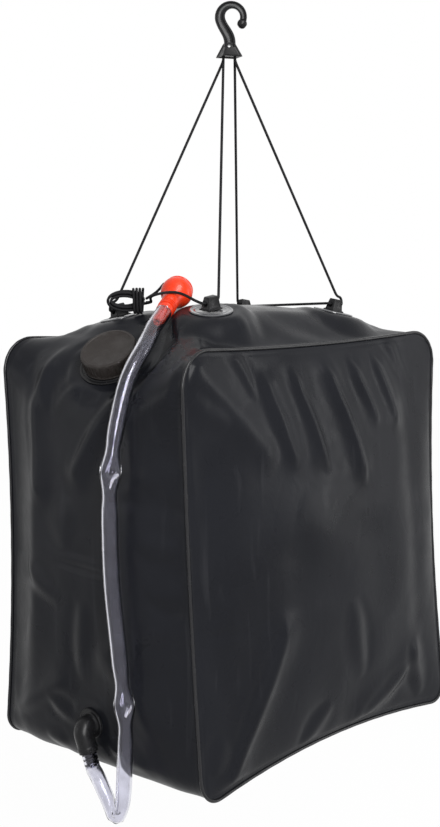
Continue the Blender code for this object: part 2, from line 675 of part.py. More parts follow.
def filler():
    """Welded neck with its thread, the gasket and the screw cap."""
    low = GAP
    face = low + FLANGE_THICKNESS
    rim = face + NECK_HEIGHT
    neck = turned("filler_neck", ((NECK_RADIUS, rim), (NECK_RADIUS, face), (FLANGE_RADIUS, face),
                                  (FLANGE_RADIUS, low), (NECK_BORE, low), (NECK_BORE, rim)),
                  32, BLACK_PLASTIC, filler_axis)
    start = face + 3.0 * THREAD_RADIUS
    steps = round(THREAD_TURNS * THREAD_CUTS)
    helix = []
    for step in range(steps + 1):
        angle = FULL_TURN * step / THREAD_CUTS
        helix.append(Vector((NECK_RADIUS * math.cos(angle), NECK_RADIUS * math.sin(angle),
                             start + THREAD_PITCH * step / THREAD_CUTS)))
    thread = tube("neck_thread", helix, THREAD_RADIUS, sides=1, guide=True)
    thread.matrix_world = FILLER_FRAME
    combine(neck, as_mesh(thread), "UNION")
    gasket_low = rim + GAP
    gasket_top = gasket_low + GASKET_THICKNESS
    cap_inner = NECK_RADIUS + THREAD_RADIUS + GAP * 2
    turned("cap_gasket", ((cap_inner - GAP, gasket_top), (cap_inner - GAP, gasket_low), (NECK_BORE, gasket_low),
                          (NECK_BORE, gasket_top)), 32, SEAL_RUBBER, filler_axis)
    ceiling = gasket_top + GAP
    cap_low = face + GAP
    cap_top = cap_low + CAP_HEIGHT
    cap = turned("filler_cap", ((0.0, cap_top - CAP_TOP / 4), (CAP_RADIUS - CAP_TOP, cap_top - CAP_TOP / 4),
                                (CAP_RADIUS - CAP_TOP, cap_top), (CAP_RADIUS - CAP_EDGE, cap_top),
                                (CAP_RADIUS, cap_top - CAP_EDGE), (CAP_RADIUS, cap_low), (cap_inner, cap_low),
                                (cap_inner, ceiling), (0.0, ceiling)), 36, CAP_PLASTIC, filler_axis)
    for number in range(CAP_RIBS):
        angle = FULL_TURN * number / CAP_RIBS
        rib = rod("cap_rib_" + str(number), CAP_RIB_RADIUS, cap_low + CAP_EDGE, cap_top - CAP_EDGE * 2, filler_axis, 6)
        rib.location = (CAP_RADIUS * math.cos(angle), CAP_RADIUS * math.sin(angle), 0.0)
        combine(cap, rib, "UNION")


# Outlet

def barb_profile(tip, root, radius, crest, rings):
    """Outer side of a hose barb from its root up to its tip, as (radius, height)."""
    length = (tip - root) / rings
    points = []
    for number in range(rings):
        low = root + length * number
        points += [(radius, low), (crest, low + length / 5), (radius, low + length)]
    return points


def outlet():
    """Elbow through the side film, with its washer and nut inside the bag."""
    low = GAP
    elbow = turned("outlet_elbow", ((0.0, low + OUTLET_FLANGE), (OUTLET_FLANGE_RADIUS - low, low + OUTLET_FLANGE),
                                    (OUTLET_FLANGE_RADIUS, low), (SHANK_RADIUS, low),
                                    (SHANK_RADIUS, -SHANK_LENGTH), (0.0, -SHANK_LENGTH)),
                   24, BLACK_PLASTIC, outlet_axis)
    combine(elbow, rod("elbow_root", ELBOW_RADIUS, OUTLET_FLANGE / 2, OUTLET_STANDOFF, outlet_axis, 20), "UNION")
    ball = bmesh.new()
    bmesh.ops.create_uvsphere(ball, u_segments=20, v_segments=10, radius=ELBOW_RADIUS + GAP)
    corner = place("elbow_corner", mesh_of(ball, "elbow_corner"), None, outlet_axis, guide=True)
    corner.location.z = OUTLET_STANDOFF
    combine(elbow, corner, "UNION")
    barb = [(BARB_CREST / 2, ELBOW_DROP + BARB_LENGTH)]
    barb += reversed(barb_profile(ELBOW_DROP + BARB_LENGTH, ELBOW_DROP, BARB_RADIUS, BARB_CREST, BARB_RINGS))
    spigot = turned("elbow_spigot", ((0.0, ELBOW_DROP + BARB_LENGTH), *barb, (ELBOW_RADIUS * 0.86, ELBOW_DROP),
                                     (ELBOW_RADIUS, ELBOW_DROP - GAP * 4), (ELBOW_RADIUS, 0.0), (0.0, 0.0)),
                    20, None, spigot_axis, guide=True)
    combine(elbow, spigot, "UNION")
    combine(elbow, rod("shank_bore", WATER_BORE, -SHANK_LENGTH - OVERRUN, OUTLET_STANDOFF, outlet_axis, 12), "DIFFERENCE")
    combine(elbow, rod("spigot_bore", WATER_BORE, 0.0, ELBOW_DROP + BARB_LENGTH + OVERRUN, spigot_axis, 12), "DIFFERENCE")
    washer_top = -FILM - GAP
    washer_low = washer_top - WASHER_THICKNESS
    bore = SHANK_RADIUS + GAP
    turned("outlet_washer", ((WASHER_RADIUS, washer_top), (WASHER_RADIUS, washer_low), (bore, washer_low),
                             (bore, washer_top)), 32, SEAL_RUBBER, outlet_axis)
    nut_top = washer_low - GAP
    nut = rod("outlet_nut", NUT_RADIUS, nut_top - NUT_THICKNESS, nut_top, outlet_axis, 6, "Z", BLACK_PLASTIC)
    combine(nut, rod("nut_bore", bore, nut_top - NUT_THICKNESS - OVERRUN, nut_top + OVERRUN, outlet_axis), "DIFFERENCE")


# Hose

def hose():
    """The clear hose, pushed on the barbs of the elbow and of the shower head."""
    elbow_end = SPIGOT_FRAME @ Vector((0.0, 0.0, ELBOW_DROP + GAP))
    elbow_out = SPIGOT_FRAME @ Vector((0.0, 0.0, ELBOW_DROP + BARB_LENGTH))
    head_in = HEAD_FRAME @ Vector((0.0, 0.0, -HEAD_BARB_LENGTH - HOSE_RADIUS))
    head_end = HEAD_FRAME @ Vector((0.0, 0.0, -GAP))
    route = [Vector((x, y, BASE_Z + z)) for x, y, z in HOSE_ROUTE]
    points = smooth_run([elbow_end, elbow_out, *route, head_in, head_end], HOSE_CUTS)
    length = sum((second - first).length for first, second in zip(points, points[1:]))
    print("hose length", round(length, 4))
    pipe = as_mesh(tube("hose", points, HOSE_RADIUS, CLEAR_HOSE, sides=2))
    socket = BARB_CREST + GAP
    lower = rod("lower_socket", socket, ELBOW_DROP - OVERRUN, ELBOW_DROP + BARB_LENGTH + GAP, spigot_axis, 20)
    upper = rod("upper_socket", socket, -HEAD_BARB_LENGTH - GAP, OVERRUN, head_axis, 20)
    combine(pipe, lower, "DIFFERENCE")
    combine(pipe, upper, "DIFFERENCE")


# Shower head

def shower_head():
    """Barbed stem with side ports, and the dome that is pulled along it to let water out."""
    wire = SEAL_WIRE / 2
    seat = STEM_RADIUS - SEAL_WIRE * 0.7
    groove = COLLAR_LENGTH + SPRAY_TRAVEL + SEAL_WIRE * 4
    port_z = groove + SEAL_WIRE * 2 + PORT_RADIUS
    plug_low = port_z + PORT_RADIUS * 2
    stem_top = plug_low + PLUG_LENGTH
    barb = barb_profile(-HEAD_BARB_LENGTH, -COLLAR_LENGTH / 4, BARB_RADIUS, BARB_CREST, BARB_RINGS)
    profile = [(0.0, stem_top), (PLUG_RADIUS, stem_top), (PLUG_RADIUS, plug_low), (STEM_RADIUS, plug_low - GAP),
               (STEM_RADIUS, groove + SEAL_WIRE), (seat, groove + SEAL_WIRE), (seat, groove - SEAL_WIRE),
               (STEM_RADIUS, groove - SEAL_WIRE), (STEM_RADIUS, COLLAR_LENGTH), (COLLAR_RADIUS - GAP, COLLAR_LENGTH),
               (COLLAR_RADIUS, COLLAR_LENGTH - GAP), (COLLAR_RADIUS, GAP), (COLLAR_RADIUS - GAP, 0.0),
               (BARB_RADIUS, 0.0), *barb, (STEM_BORE + GAP, -HEAD_BARB_LENGTH), (0.0, -HEAD_BARB_LENGTH)]
    stem = turned("head_stem", profile, 16, HEAD_PLASTIC, head_axis)
    combine(stem, rod("stem_bore", STEM_BORE, -HEAD_BARB_LENGTH - OVERRUN, port_z + PORT_RADIUS, head_axis, 12),
            "DIFFERENCE")
    port = rod("stem_port", PORT_RADIUS, -COLLAR_RADIUS, COLLAR_RADIUS, head_axis, 8, "X")
    port.location.z = port_z
    combine(stem, port, "DIFFERENCE")
    ring = seat + wire + GAP
    turned("stem_seal", [(ring + wire * math.cos(a), groove - wire * math.sin(a))
                         for a in (FULL_TURN * step / 6 for step in range(6))], 20, SEAL_RUBBER, head_axis)
    sleeve_bore = ring + wire + GAP
    throat = PLUG_RADIUS + GAP
    dome_z = COLLAR_LENGTH + NECK_LENGTH
    face_z = dome_z + DOME_RADIUS * FACE_SHARE
    plate_radius = DOME_RADIUS * math.sqrt(1.0 - FACE_SHARE ** 2) - DOME_WALL
    inner = DOME_RADIUS - DOME_WALL
    shoulder = face_z - SPRAY_THICKNESS - GAP
    low_angle = -math.acos(SLEEVE_RADIUS / DOME_RADIUS)
    high_angle = math.asin(FACE_SHARE)
    outer_side = [(DOME_RADIUS * math.cos(a), dome_z + DOME_RADIUS * math.sin(a))
                  for a in (high_angle + (low_angle - high_angle) * step / 8 for step in range(9))]
    inner_low = -math.acos(throat / inner)
    inner_high = math.asin((shoulder - dome_z) / inner)
    inner_side = [(inner * math.cos(a), dome_z + inner * math.sin(a))
                  for a in (inner_low + (inner_high - inner_low) * step / 6 for step in range(7))]
    sleeve_low = COLLAR_LENGTH + GAP
    shell = [(plate_radius + GAP, face_z), *outer_side, (SLEEVE_RADIUS, sleeve_low), (sleeve_bore, sleeve_low),
             (sleeve_bore, plug_low), (throat, plug_low), *inner_side, (plate_radius + GAP, shoulder)]
    turned("spray_dome", shell, 24, HEAD_PLASTIC, head_axis)
    plate = rod("spray_plate", plate_radius, face_z - SPRAY_THICKNESS, face_z, head_axis, 28, "Z", HEAD_PLASTIC)
    for share, count in SPRAY_RING_SHARES:
        for number in range(count):
            angle = FULL_TURN * (number + share) / count
            hole = rod("spray_hole_%d_%d" % (count, number), SPRAY_HOLE_RADIUS,
                       face_z - SPRAY_THICKNESS - OVERRUN, face_z + OVERRUN, head_axis, 6)
            hole.location.x = share * plate_radius * math.cos(angle)
            hole.location.y = share * plate_radius * math.sin(angle)
            combine(plate, hole, "DIFFERENCE")


# Hook

def hook():
    """Bow with a ball tip, and a four-sided foot that the cord turns over inside."""
    centre_z = BOW_TIP_THICKNESS / 2 - BOW_RADIUS
    points = []
    radii = []
    for step in range(17):
        share = step / 16
        angle = BOW_START + (BOW_END - BOW_START) * share
        points.append(Vector((BOW_RADIUS * math.cos(angle), 0.0, centre_z + BOW_RADIUS * math.sin(angle))))
        radii.append((BOW_TIP_THICKNESS + (BOW_BACK_THICKNESS - BOW_TIP_THICKNESS) * ease(share * 1.6 - 0.6)) / 2)
    start = points[-1]
    reach = BOW_RADIUS * 0.75
    first = start + Vector((-math.sin(BOW_END), 0.0, math.cos(BOW_END))) * reach
    end = Vector((HOOK_NECK_R, 0.0, HOOK_NECK_Z))
    second = end + Vector((0.0, 0.0, reach))
    for step in range(1, 9):
        share = step / 8
        near = start.lerp(first, share).lerp(first.lerp(second, share), share)
        far = first.lerp(second, share).lerp(second.lerp(end, share), share)
        points.append(near.lerp(far, share))
        radii.append((BOW_BACK_THICKNESS + (SHANK_THICKNESS - BOW_BACK_THICKNESS) * ease(share)) / 2)
    points.append(end - Vector((0.0, 0.0, BOW_TIP_THICKNESS / 2)))
    radii.append(SHANK_THICKNESS / 2)
    bow = tube("hanger_hook", points, BOW_RADIUS, BLACK_PLASTIC, sides=3, radii=radii)
    bow = as_mesh(bow, HOOK_FLATNESS_SHARE)
    bow.parent = hook_axis
    bow.data.shade_smooth()
    tip = bmesh.new()
    bmesh.ops.create_uvsphere(tip, u_segments=16, v_segments=10, radius=BALL_RADIUS)
    ball = place("hook_ball", mesh_of(tip, "hook_ball"), None, hook_axis, guide=True)
    ball.location = points[0] + Vector((0.0, 0.0, -BALL_RADIUS / 4))
    combine(bow, ball, "UNION")
    foot = bmesh.new()
    bmesh.ops.create_cone(foot, cap_ends=True, segments=4, radius1=HOOK_BASE_RADIUS, radius2=HOOK_NECK_RADIUS,
                          depth=HOOK_NECK_Z - HOOK_BASE_Z)
    body = place("hook_foot", mesh_of(foot, "hook_foot"), None, hook_axis, guide=True)
    body.location = (SADDLE_R, 0.0, (HOOK_NECK_Z + HOOK_BASE_Z) / 2)
    body.rotation_euler.z = HOOK_BASE_TURN
    combine(bow, body, "UNION")
    for name, side in (("saddle_near", -1), ("saddle_far", 1)):
        low = [Vector((SADDLE_R + end_side * SADDLE_RADIUS, side * SADDLE_OFFSET, HOOK_BASE_Z - OVERRUN))
               for end_side in (-1, 1)]
        run = [low[0], *saddle_arc(side), low[1]]
        channel = tube(name, run, CORD_RADIUS + CORD_CLEARANCE, sides=1, guide=True)
        channel = as_mesh(channel)
        channel.parent = hook_axis
        combine(bow, channel, "DIFFERENCE")
    eye = rod("hook_eye", HOOK_EYE_RADIUS, -HOOK_BASE_RADIUS, HOOK_BASE_RADIUS, hook_axis, 10, "Y")
    eye.location = (SADDLE_R, 0.0, HOOK_EYE_Z)
    combine(bow, eye, "DIFFERENCE")


def saddle_arc(side):
    """Middle line of a cord where it turns over inside the hook's foot, in the hook's frame."""
    arc = []
    for step in range(9):
        angle = math.pi * (1.0 - step / 8)
        arc.append(Vector((SADDLE_R + SADDLE_RADIUS * math.cos(angle), side * SADDLE_OFFSET,
                           SADDLE_Z + SADDLE_RADIUS * math.sin(angle))))
    return arc


# Cord

def lug_point(name, x, z):
    """A point in the plane of one lug's tunnel."""
    return LUG_FRAMES[name] @ Vector((x, 0.0, z))


def hank_line():
    """Middle line of the spare cord's loops: in and out again, in two layers."""
    points = []
    per_layer = HANK_TURNS // 2
    for step in range(HANK_TURNS * HANK_CUTS + 1):
        turn = step / HANK_CUTS
        angle = FULL_TURN * turn
        inward = turn if turn < per_layer else HANK_TURNS - turn
        offset = HANK_STEP * (per_layer / 2 - inward)
        depth = HANK_STEP * (ease((turn - per_layer) * 2.0 + 0.5) - 0.5)
        normal = Vector((math.cos(angle) / HANK_HALF_LENGTH, math.sin(angle) / HANK_HALF_HEIGHT)).normalized()
        points.append(Vector((HANK_HALF_LENGTH * math.cos(angle) + normal.x * offset,
                              HANK_HALF_HEIGHT * math.sin(angle) + normal.y * offset, depth)))
    return points


def least_gap(points, reach):
    """Smallest gap between stretches of one tube that are further along it than reach."""
    lengths = [0.0]
    for first, second in zip(points, points[1:]):
        lengths.append(lengths[-1] + (second - first).length)
    gap = lengths[-1]
    for index, point in enumerate(points):
        for other in range(index + 1, len(points)):
            if lengths[other] - lengths[index] > reach:
                gap = min(gap, (points[other] - point).length - 2.0 * CORD_RADIUS)
    return gap


def cord():
    """The cord from the hank through the lugs and over the hook, its spare length and its tie."""
    out = HANK_FRAME.to_3x3().col[0]
    loops = hank_line()
    around = 2.0 * CORD_RADIUS + GAP
    tie_height = max(abs(point.y) for point in loops if point.x > TIE_START - around) + around
    tie_depth = max(point.z for point in loops) + around + CORD_RADIUS / 3
    tie = []
    for step in range(TIE_TURNS * HANK_CUTS + 1):
        angle = FULL_TURN * step / HANK_CUTS
        flat_y = math.copysign(math.sqrt(abs(math.cos(angle))), math.cos(angle))
        flat_z = math.copysign(math.sqrt(abs(math.sin(angle))), math.sin(angle))
        tie.append(Vector((TIE_START + HANK_STEP * step / HANK_CUTS, tie_height * flat_y, tie_depth * flat_z)))
    nose = max(point.x for point in loops) + CORD_RADIUS + GAP
    print("hank least gap", round(least_gap(loops, 3.0 * HANK_STEP), 5))
    print("tie least gap", round(least_gap(tie, 3.0 * HANK_STEP), 5))
    tube("cord_hank", loops, CORD_RADIUS, CORD_BRAID, sides=1, parent=hank_axis)
    tube("hank_tie", tie, CORD_RADIUS, CORD_BRAID, sides=1, parent=hank_axis)

    neck_side = SLEEVE_RADIUS + CORD_RADIUS + 2.0 * CORD_CLEARANCE
    on_neck = COLLAR_LENGTH + NECK_LENGTH - DOME_RADIUS - CORD_RADIUS
    over_neck = HEAD_FRAME @ Vector((neck_side, SLEEVE_RADIUS, on_neck))
    past_neck = HEAD_FRAME @ Vector((neck_side, -2.0 * SLEEVE_RADIUS, on_neck - SLEEVE_RADIUS))
    exits = {}
    arcs = {}
    for name, side in (("near", -1), ("far", 1)):
        arcs[name] = [HOOK_FRAME @ point for point in saddle_arc(side)]
        for end, end_side in (("left", -1), ("right", 1)):
            exits[name, end] = HOOK_FRAME @ Vector((SADDLE_R + end_side * SADDLE_RADIUS, side * SADDLE_OFFSET,
                                                    HOOK_BASE_Z - SADDLE_EXIT))
    high = LUG_SEAT + LUG_HEIGHT + CORD_RADIUS + 2.0 * GAP
    brow = LUG_TOP_LENGTH / 2 + CORD_RADIUS
    level = CORD_IN_TUNNEL
    lead = Vector((CORD_BEND + CORD_RADIUS, 0.0, 0.0))
    tie_front = Vector((nose, -CORD_RADIUS, HANK_STEP / 2))
    tie_back = Vector((nose, -CORD_RADIUS, -HANK_STEP / 2))
    enter = lug_point("front_left", -MOUTH, level)
    leave = lug_point("rear_left", MOUTH, level)
    first_link = smooth_run([HANK_FRAME @ tie_front, HANK_FRAME @ (tie_front + lead), past_neck, over_neck, enter,
                             lug_point("front_left", MOUTH, level)], LINK_CUTS)
    last_link = smooth_run([lug_point("rear_left", -MOUTH, level), leave, HANK_FRAME @ (tie_back + lead),
                            HANK_FRAME @ tie_back], LINK_CUTS // 2)
    route = [enter, lug_point("front_left", MOUTH, level),
             exits["near", "left"], *arcs["near"], exits["near", "right"],
             lug_point("front_right", 0.0, high), lug_point("front_right", brow, high),
             lug_point("front_right", MOUTH + 2.0 * CORD_RADIUS, level),
             lug_point("front_right", -MOUTH, level),
             lug_point("rear_right", MOUTH, level), lug_point("rear_right", -MOUTH, level),
             exits["far", "right"], *reversed(arcs["far"]), exits["far", "left"],
             lug_point("rear_left", 0.0, high), lug_point("rear_left", -brow, high),
             lug_point("rear_left", -MOUTH - 2.0 * CORD_RADIUS, level), leave]
    run = [*first_link[:-1], *rounded(route, CORD_BEND, BEND_CUTS)[1:-1], *last_link[1:]]
    length = sum((second - first).length for first, second in zip(run, run[1:]))
    print("cord length", round(length, 4), "points", len(run))
    tube("suspension_cord", run, CORD_RADIUS, CORD_BRAID, sides=1)
    tail_start = HANK_FRAME @ Vector((nose, 1.4 * CORD_RADIUS, 0.0))
    tail_bend = tail_start + (out + Vector((0.0, 0.0, 0.6))) * TAIL_LENGTH / 2
    tail_end = tail_bend + (out + Vector((0.0, 0.0, 1.2))) * TAIL_LENGTH / 3
    tube("cord_tail", rounded([tail_start, tail_bend, tail_end], CORD_BEND, BEND_CUTS), CORD_RADIUS, CORD_BRAID, sides=1)


SPIGOT_FRAME = OUTLET_FRAME @ Matrix.Translation((0.0, 0.0, OUTLET_STANDOFF)) @ Matrix.Rotation(math.pi / 2, 4, "Y")
HEAD_X = -LUG_X - HEAD_OUT
HEAD_PLACE = Vector((HEAD_X, HEAD_Y, top_height(HEAD_X, HEAD_Y) + HEAD_LIFT))
HEAD_UP = Vector((math.cos(HEAD_PITCH) * math.cos(HEAD_TURN), math.cos(HEAD_PITCH) * math.sin(HEAD_TURN),
                  math.sin(HEAD_PITCH)))
HEAD_FRAME = frame_at(HEAD_PLACE, HEAD_UP, Vector((0.0, 0.0, 1.0)))
HOOK_FRAME = Matrix.Rotation(HOOK_TURN, 4, "Z")
HANK_SIDE = HOOK_FRAME.to_3x3().col[0]
HANK_NORMAL = -HOOK_FRAME.to_3x3().col[1]
HANK_PLACE = LUG_FRAMES["rear_left"].translation + HANK_NORMAL * HANK_OUT + HANK_SIDE * HANK_ALONG
HANK_FRAME = frame_at(HANK_PLACE + Vector((0.0, 0.0, HANK_LIFT)), HANK_NORMAL, HANK_SIDE)

filler_axis = pivot("filler_axis", FILLER_FRAME)
outlet_axis = pivot("outlet_axis", OUTLET_FRAME)
spigot_axis = pivot("spigot_axis", SPIGOT_FRAME)
head_axis = pivot("head_axis", HEAD_FRAME)
hook_axis = pivot("hook_axis", HOOK_FRAME)
hank_axis = pivot("hank_axis", HANK_FRAME)

film_bag()
lugs()
filler()
outlet()
shower_head()
hose()
hook()
cord()
print("head frame", [tuple(round(value, 4) for value in row) for row in HEAD_FRAME])
print("filler frame", [tuple(round(value, 4) for value in row) for row in FILLER_FRAME])
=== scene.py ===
"""Camp shower bag: a filled box of welded film on one cord and a moulded hook.

Metres, +Z up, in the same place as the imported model. The front panel faces -Y, and the filler
cap, the outlet and the clear hose are on the -X side.
"""
import math

import bmesh
import bpy
import numpy as np
from mathutils import Matrix, Quaternion, Vector


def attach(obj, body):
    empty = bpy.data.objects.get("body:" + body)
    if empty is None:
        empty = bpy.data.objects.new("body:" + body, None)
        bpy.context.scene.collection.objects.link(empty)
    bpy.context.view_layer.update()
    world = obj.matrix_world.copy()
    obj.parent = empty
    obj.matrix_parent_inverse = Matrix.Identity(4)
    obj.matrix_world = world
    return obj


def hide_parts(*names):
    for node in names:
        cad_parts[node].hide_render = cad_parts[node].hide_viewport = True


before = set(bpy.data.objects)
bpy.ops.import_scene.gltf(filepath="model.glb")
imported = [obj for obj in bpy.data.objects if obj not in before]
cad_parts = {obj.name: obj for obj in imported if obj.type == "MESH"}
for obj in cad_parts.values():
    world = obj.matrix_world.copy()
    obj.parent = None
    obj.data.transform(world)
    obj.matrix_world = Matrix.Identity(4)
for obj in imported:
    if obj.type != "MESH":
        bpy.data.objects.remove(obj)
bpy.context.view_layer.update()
bpy.ops.object.select_all(action="DESELECT")

# Sizes that the solids share
GAP = 0.0003
BAG_WIDTH, BAG_DEPTH, BAG_HEIGHT = 0.385, 0.252, 0.400
BASE_Z = -0.7166
FILM = 0.0008
SEAM_TOP_RADIUS, SEAM_BASE_RADIUS, SHOULDER_RADIUS = 0.036, 0.026, 0.082
SIDE_BOW, SIDE_BULGE, BASE_BOW, TOP_BOW = 0.004, 0.013, 0.014, 0.006
FACE_BOW, FRONT_LEAN, REAR_LEAN, PANEL_CROWN = 0.007, 0.012, 0.0025, 0.016
BEAD_RADIUS = 0.0015
INSET = 0.0012
LUG_X, LUG_Y, TOP_CROWN = 0.094, 0.058, 0.010
LUG_RISES = {"front_left": 0.0275, "front_right": 0.0190, "rear_left": 0.0185, "rear_right": 0.0150}
PATCH_RADIUS, FLANGE_RADIUS, OUTLET_FLANGE_RADIUS = 0.0205, 0.0315, 0.0145
HOSE_RADIUS, HOSE_BORE = 0.0077, 0.0060
CORD_RADIUS = 0.0013


def frame_of(rows):
    """A frame from its three rows, with the place in the last column."""
    return Matrix((*rows, (0.0, 0.0, 0.0, 1.0)))


FILLER_FRAME = frame_of(((0.10287, 0.81129, -0.57552, -0.16150), (-0.98440, 0.0, -0.17595, 0.00200),
                         (-0.14275, 0.58464, 0.79864, -0.33560)))
OUTLET_FRAME = frame_of(((0.09432, -0.02539, -0.99522, -0.19809), (-0.25998, -0.96561, 0.0, -0.00350),
                         (-0.96100, 0.25874, -0.09768, -0.66760)))
SPIGOT_FRAME = frame_of(((0.99522, -0.02539, 0.09432, -0.21053), (0.0, -0.96561, -0.25998, -0.00350),
                         (0.09768, 0.25874, -0.96100, -0.66882)))
HEAD_FRAME = frame_of(((-0.40201, 0.39875, 0.82425, -0.12300), (-0.17480, -0.91706, 0.35839, -0.02570),
                       (0.89879, 0.0, 0.43837, -0.28996)))
HOOK_FRAME = Matrix.Rotation(math.radians(-48.0), 4, "Z")
HANK_FRAME = frame_of(((0.66913, 0.0, -0.74314, -0.10810), (-0.74314, 0.0, -0.66913, 0.04083),
                       (0.0, 1.0, 0.0, -0.28207)))
LUG_FRAMES = {}
for name, x_way, y_way, x, z in (("front_left", -1, -1, -0.0940, -0.28910),
                                 ("front_right", 1, -1, 0.0915, -0.29749),
                                 ("rear_left", -1, 1, -0.0980, -0.29957),
                                 ("rear_right", 1, 1, 0.0860, -0.30145)):
    LUG_FRAMES[name] = frame_of(((0.98798, 0.0, 0.15455 * x_way, x),
                                 (-0.02418 * x_way * y_way, 0.98769, 0.15455 * y_way, LUG_Y * y_way),
                                 (-0.15265 * x_way, -0.15643 * y_way, 0.97582, z)))


# Camera

camera_data = bpy.data.cameras.new("photo_camera")
camera_data.sensor_fit = "VERTICAL"
camera_data.sensor_height = 36.0
camera_data.lens = 58.08
camera = bpy.data.objects.new("photo_camera", camera_data)
camera.location = (-1.0036, -0.8876, -0.2276)
looking_down, heading = 7.2487, -48.0224
camera.rotation_euler = (math.radians(90.0 - looking_down), 0.0, math.radians(heading))
bpy.context.scene.collection.objects.link(camera)
bpy.context.scene.camera = camera


# Lines of the hose, with heights above the base, and of the cord, as in the model, in tenths of a millimetre

HOSE_ROUTE = (
    (-2150, -292, 80), (-2157, -405, -55), (-2166, -499, -150), (-2183, -571, -180), (-2172, -632, -50),
    (-2162, -648, 200), (-2152, -656, 530), (-2157, -648, 851), (-2172, -590, 1432),
    (-2195, -548, 1950), (-2205, -540, 2504), (-2194, -538, 2875), (-2151, -539, 3170),
    (-2080, -550, 3469), (-1975, -533, 3712), (-1844, -513, 3869), (-1680, -470, 4000),
)
CORD_ROUTE = (
    (-961, 252, -2834), (-925, 212, -2834), (-983, 153, -2818), (-1045, 97, -2803), (-1105, 40, -2788),
    (-1163, -20, -2772), (-1207, -88, -2754), (-1175, -157, -2732), (-1106, -204, -2721),
    (-1058, -271, -2724), (-1053, -352, -2744), (-1059, -432, -2771), (-1065, -512, -2798),
    (-1053, -591, -2822), (-893, -595, -2798), (-870, -594, -2790), (-852, -591, -2776),
    (-841, -585, -2755), (-71, 45, -499), (-71, 45, -440), (-68, 42, -419), (-60, 33, -400),
    (-47, 20, -388), (-33, 4, -384), (-19, -12, -388), (-7, -26, -400), (2, -35, -419), (4, -38, -440),
    (4, -38, -499), (927, -597, -2773), (939, -602, -2794), (956, -605, -2808), (978, -605, -2815),
    (1001, -604, -2822), (1018, -602, -2836), (1031, -599, -2857), (1038, -596, -2874),
    (1042, -593, -2893), (1034, -591, -2904), (1014, -591, -2904), (868, -595, -2882),
    (847, -591, -2879), (835, -578, -2877), (833, -556, -2878), (968, 551, -2944), (967, 573, -2944),
    (955, 587, -2943), (934, 592, -2940), (813, 595, -2921), (790, 594, -2914), (773, 591, -2899),
    (762, 586, -2878), (37, -8, -499), (37, -8, -440), (34, -5, -419), (26, 4, -400), (14, 17, -388),
    (0, 33, -384), (-15, 49, -388), (-27, 63, -400), (-35, 72, -419), (-38, 75, -440), (-38, 75, -499),
    (-991, 598, -2794), (-1004, 603, -2814), (-1021, 605, -2828), (-1043, 605, -2836),
    (-1066, 604, -2843), (-1083, 602, -2857), (-1096, 599, -2878), (-1103, 596, -2895),
    (-1107, 593, -2914), (-1099, 591, -2924), (-1079, 591, -2925), (-894, 596, -2896),
    (-881, 537, -2884), (-880, 476, -2874), (-883, 415, -2864), (-888, 354, -2854), (-895, 293, -2844),
    (-902, 233, -2834), (-938, 272, -2834),
)
TAIL_ROUTE = (
    (-949, 262, -2803), (-876, 180, -2737), (-827, 126, -2649),
)


def in_metres(rows):
    """Tenths of a millimetre in metres."""
    return np.array(rows) / 10000.0


def distance_along(line):
    """How far along a line each of its points lies."""
    return np.concatenate([[0.0], np.cumsum(np.linalg.norm(np.diff(line, axis=0), axis=1))])


def smooth_run(points, count):
    """Evenly spaced points on a smooth curve, whose first and last runs stay straight."""
    cuts = 24
    fine = []
    for p0, p1, p2, p3 in zip(points, points[1:], points[2:], points[3:]):
        for step in range(cuts):
            t = step / cuts
            fine.append(0.5 * (2.0 * p1 + (p2 - p0) * t + (2.0 * p0 - 5.0 * p1 + 4.0 * p2 - p3) * t ** 2
                               + (3.0 * p1 - p0 - 3.0 * p2 + p3) * t ** 3))
    fine.append(points[-2])
    fine = np.array(fine)
    along = distance_along(fine)
    even = np.linspace(0.0, along[-1], count)
    run = np.stack([np.interp(even, along, fine[:, axis]) for axis in range(3)], axis=1)
    return np.vstack([[points[0]], run, [points[-1]]])


def softened(line, reach):
    """The line with each of its corners cut twice, never further than reach."""
    for _ in range(2):
        result = [line[0]]
        for before, corner, after in zip(line, line[1:], line[2:]):
            for leg in (before - corner, after - corner):
                length = np.linalg.norm(leg)
                result.append(corner + leg / length * min(reach, length * 0.25))
        result.append(line[-1])
        line = np.array(result)
        reach /= 2
    return line


def even_run(points, pitch):
    """The same line with points at most a pitch apart."""
    result = [points[0]]
    for first, second in zip(points, points[1:]):
        steps = max(1, math.ceil(np.linalg.norm(second - first) / pitch))
        for step in range(1, steps + 1):
            result.append(first + (second - first) * step / steps)
    return np.array(result)


def on_axis(matrix, height):
    """A point of a frame's axis."""
    return np.array(matrix @ Vector((0, 0, height)))


def eased_out(line, reach, low, high):
    """The line with its waves taken out above a height, the ends left where they are."""
    kernel = np.hanning(2 * reach + 3)[1:-1]
    kernel /= kernel.sum()
    middle = np.stack([np.convolve(line[:, axis], kernel, "valid") for axis in range(3)], axis=1)
    calm = line.copy()
    calm[reach:-reach] = middle
    share = np.clip((line[:, 2] - BASE_Z - low) / (high - low), 0.0, 1.0)[:, None]
    return line * (1.0 - share) + calm * share


HOSE_LINE = eased_out(smooth_run(
    [on_axis(SPIGOT_FRAME, 0.0243), on_axis(SPIGOT_FRAME, 0.0380),
     *[np.array((x, y, BASE_Z + z)) for x, y, z in in_metres(HOSE_ROUTE)],
     on_axis(HEAD_FRAME, -0.0270), on_axis(HEAD_FRAME, -GAP)], count=260), reach=11, low=0.10, high=0.14)
CORD_LINE = even_run(softened(in_metres(CORD_ROUTE), reach=0.0025), pitch=0.006)
TAIL_LINE = even_run(softened(in_metres(TAIL_ROUTE), reach=0.004), pitch=0.002)


# Node tools

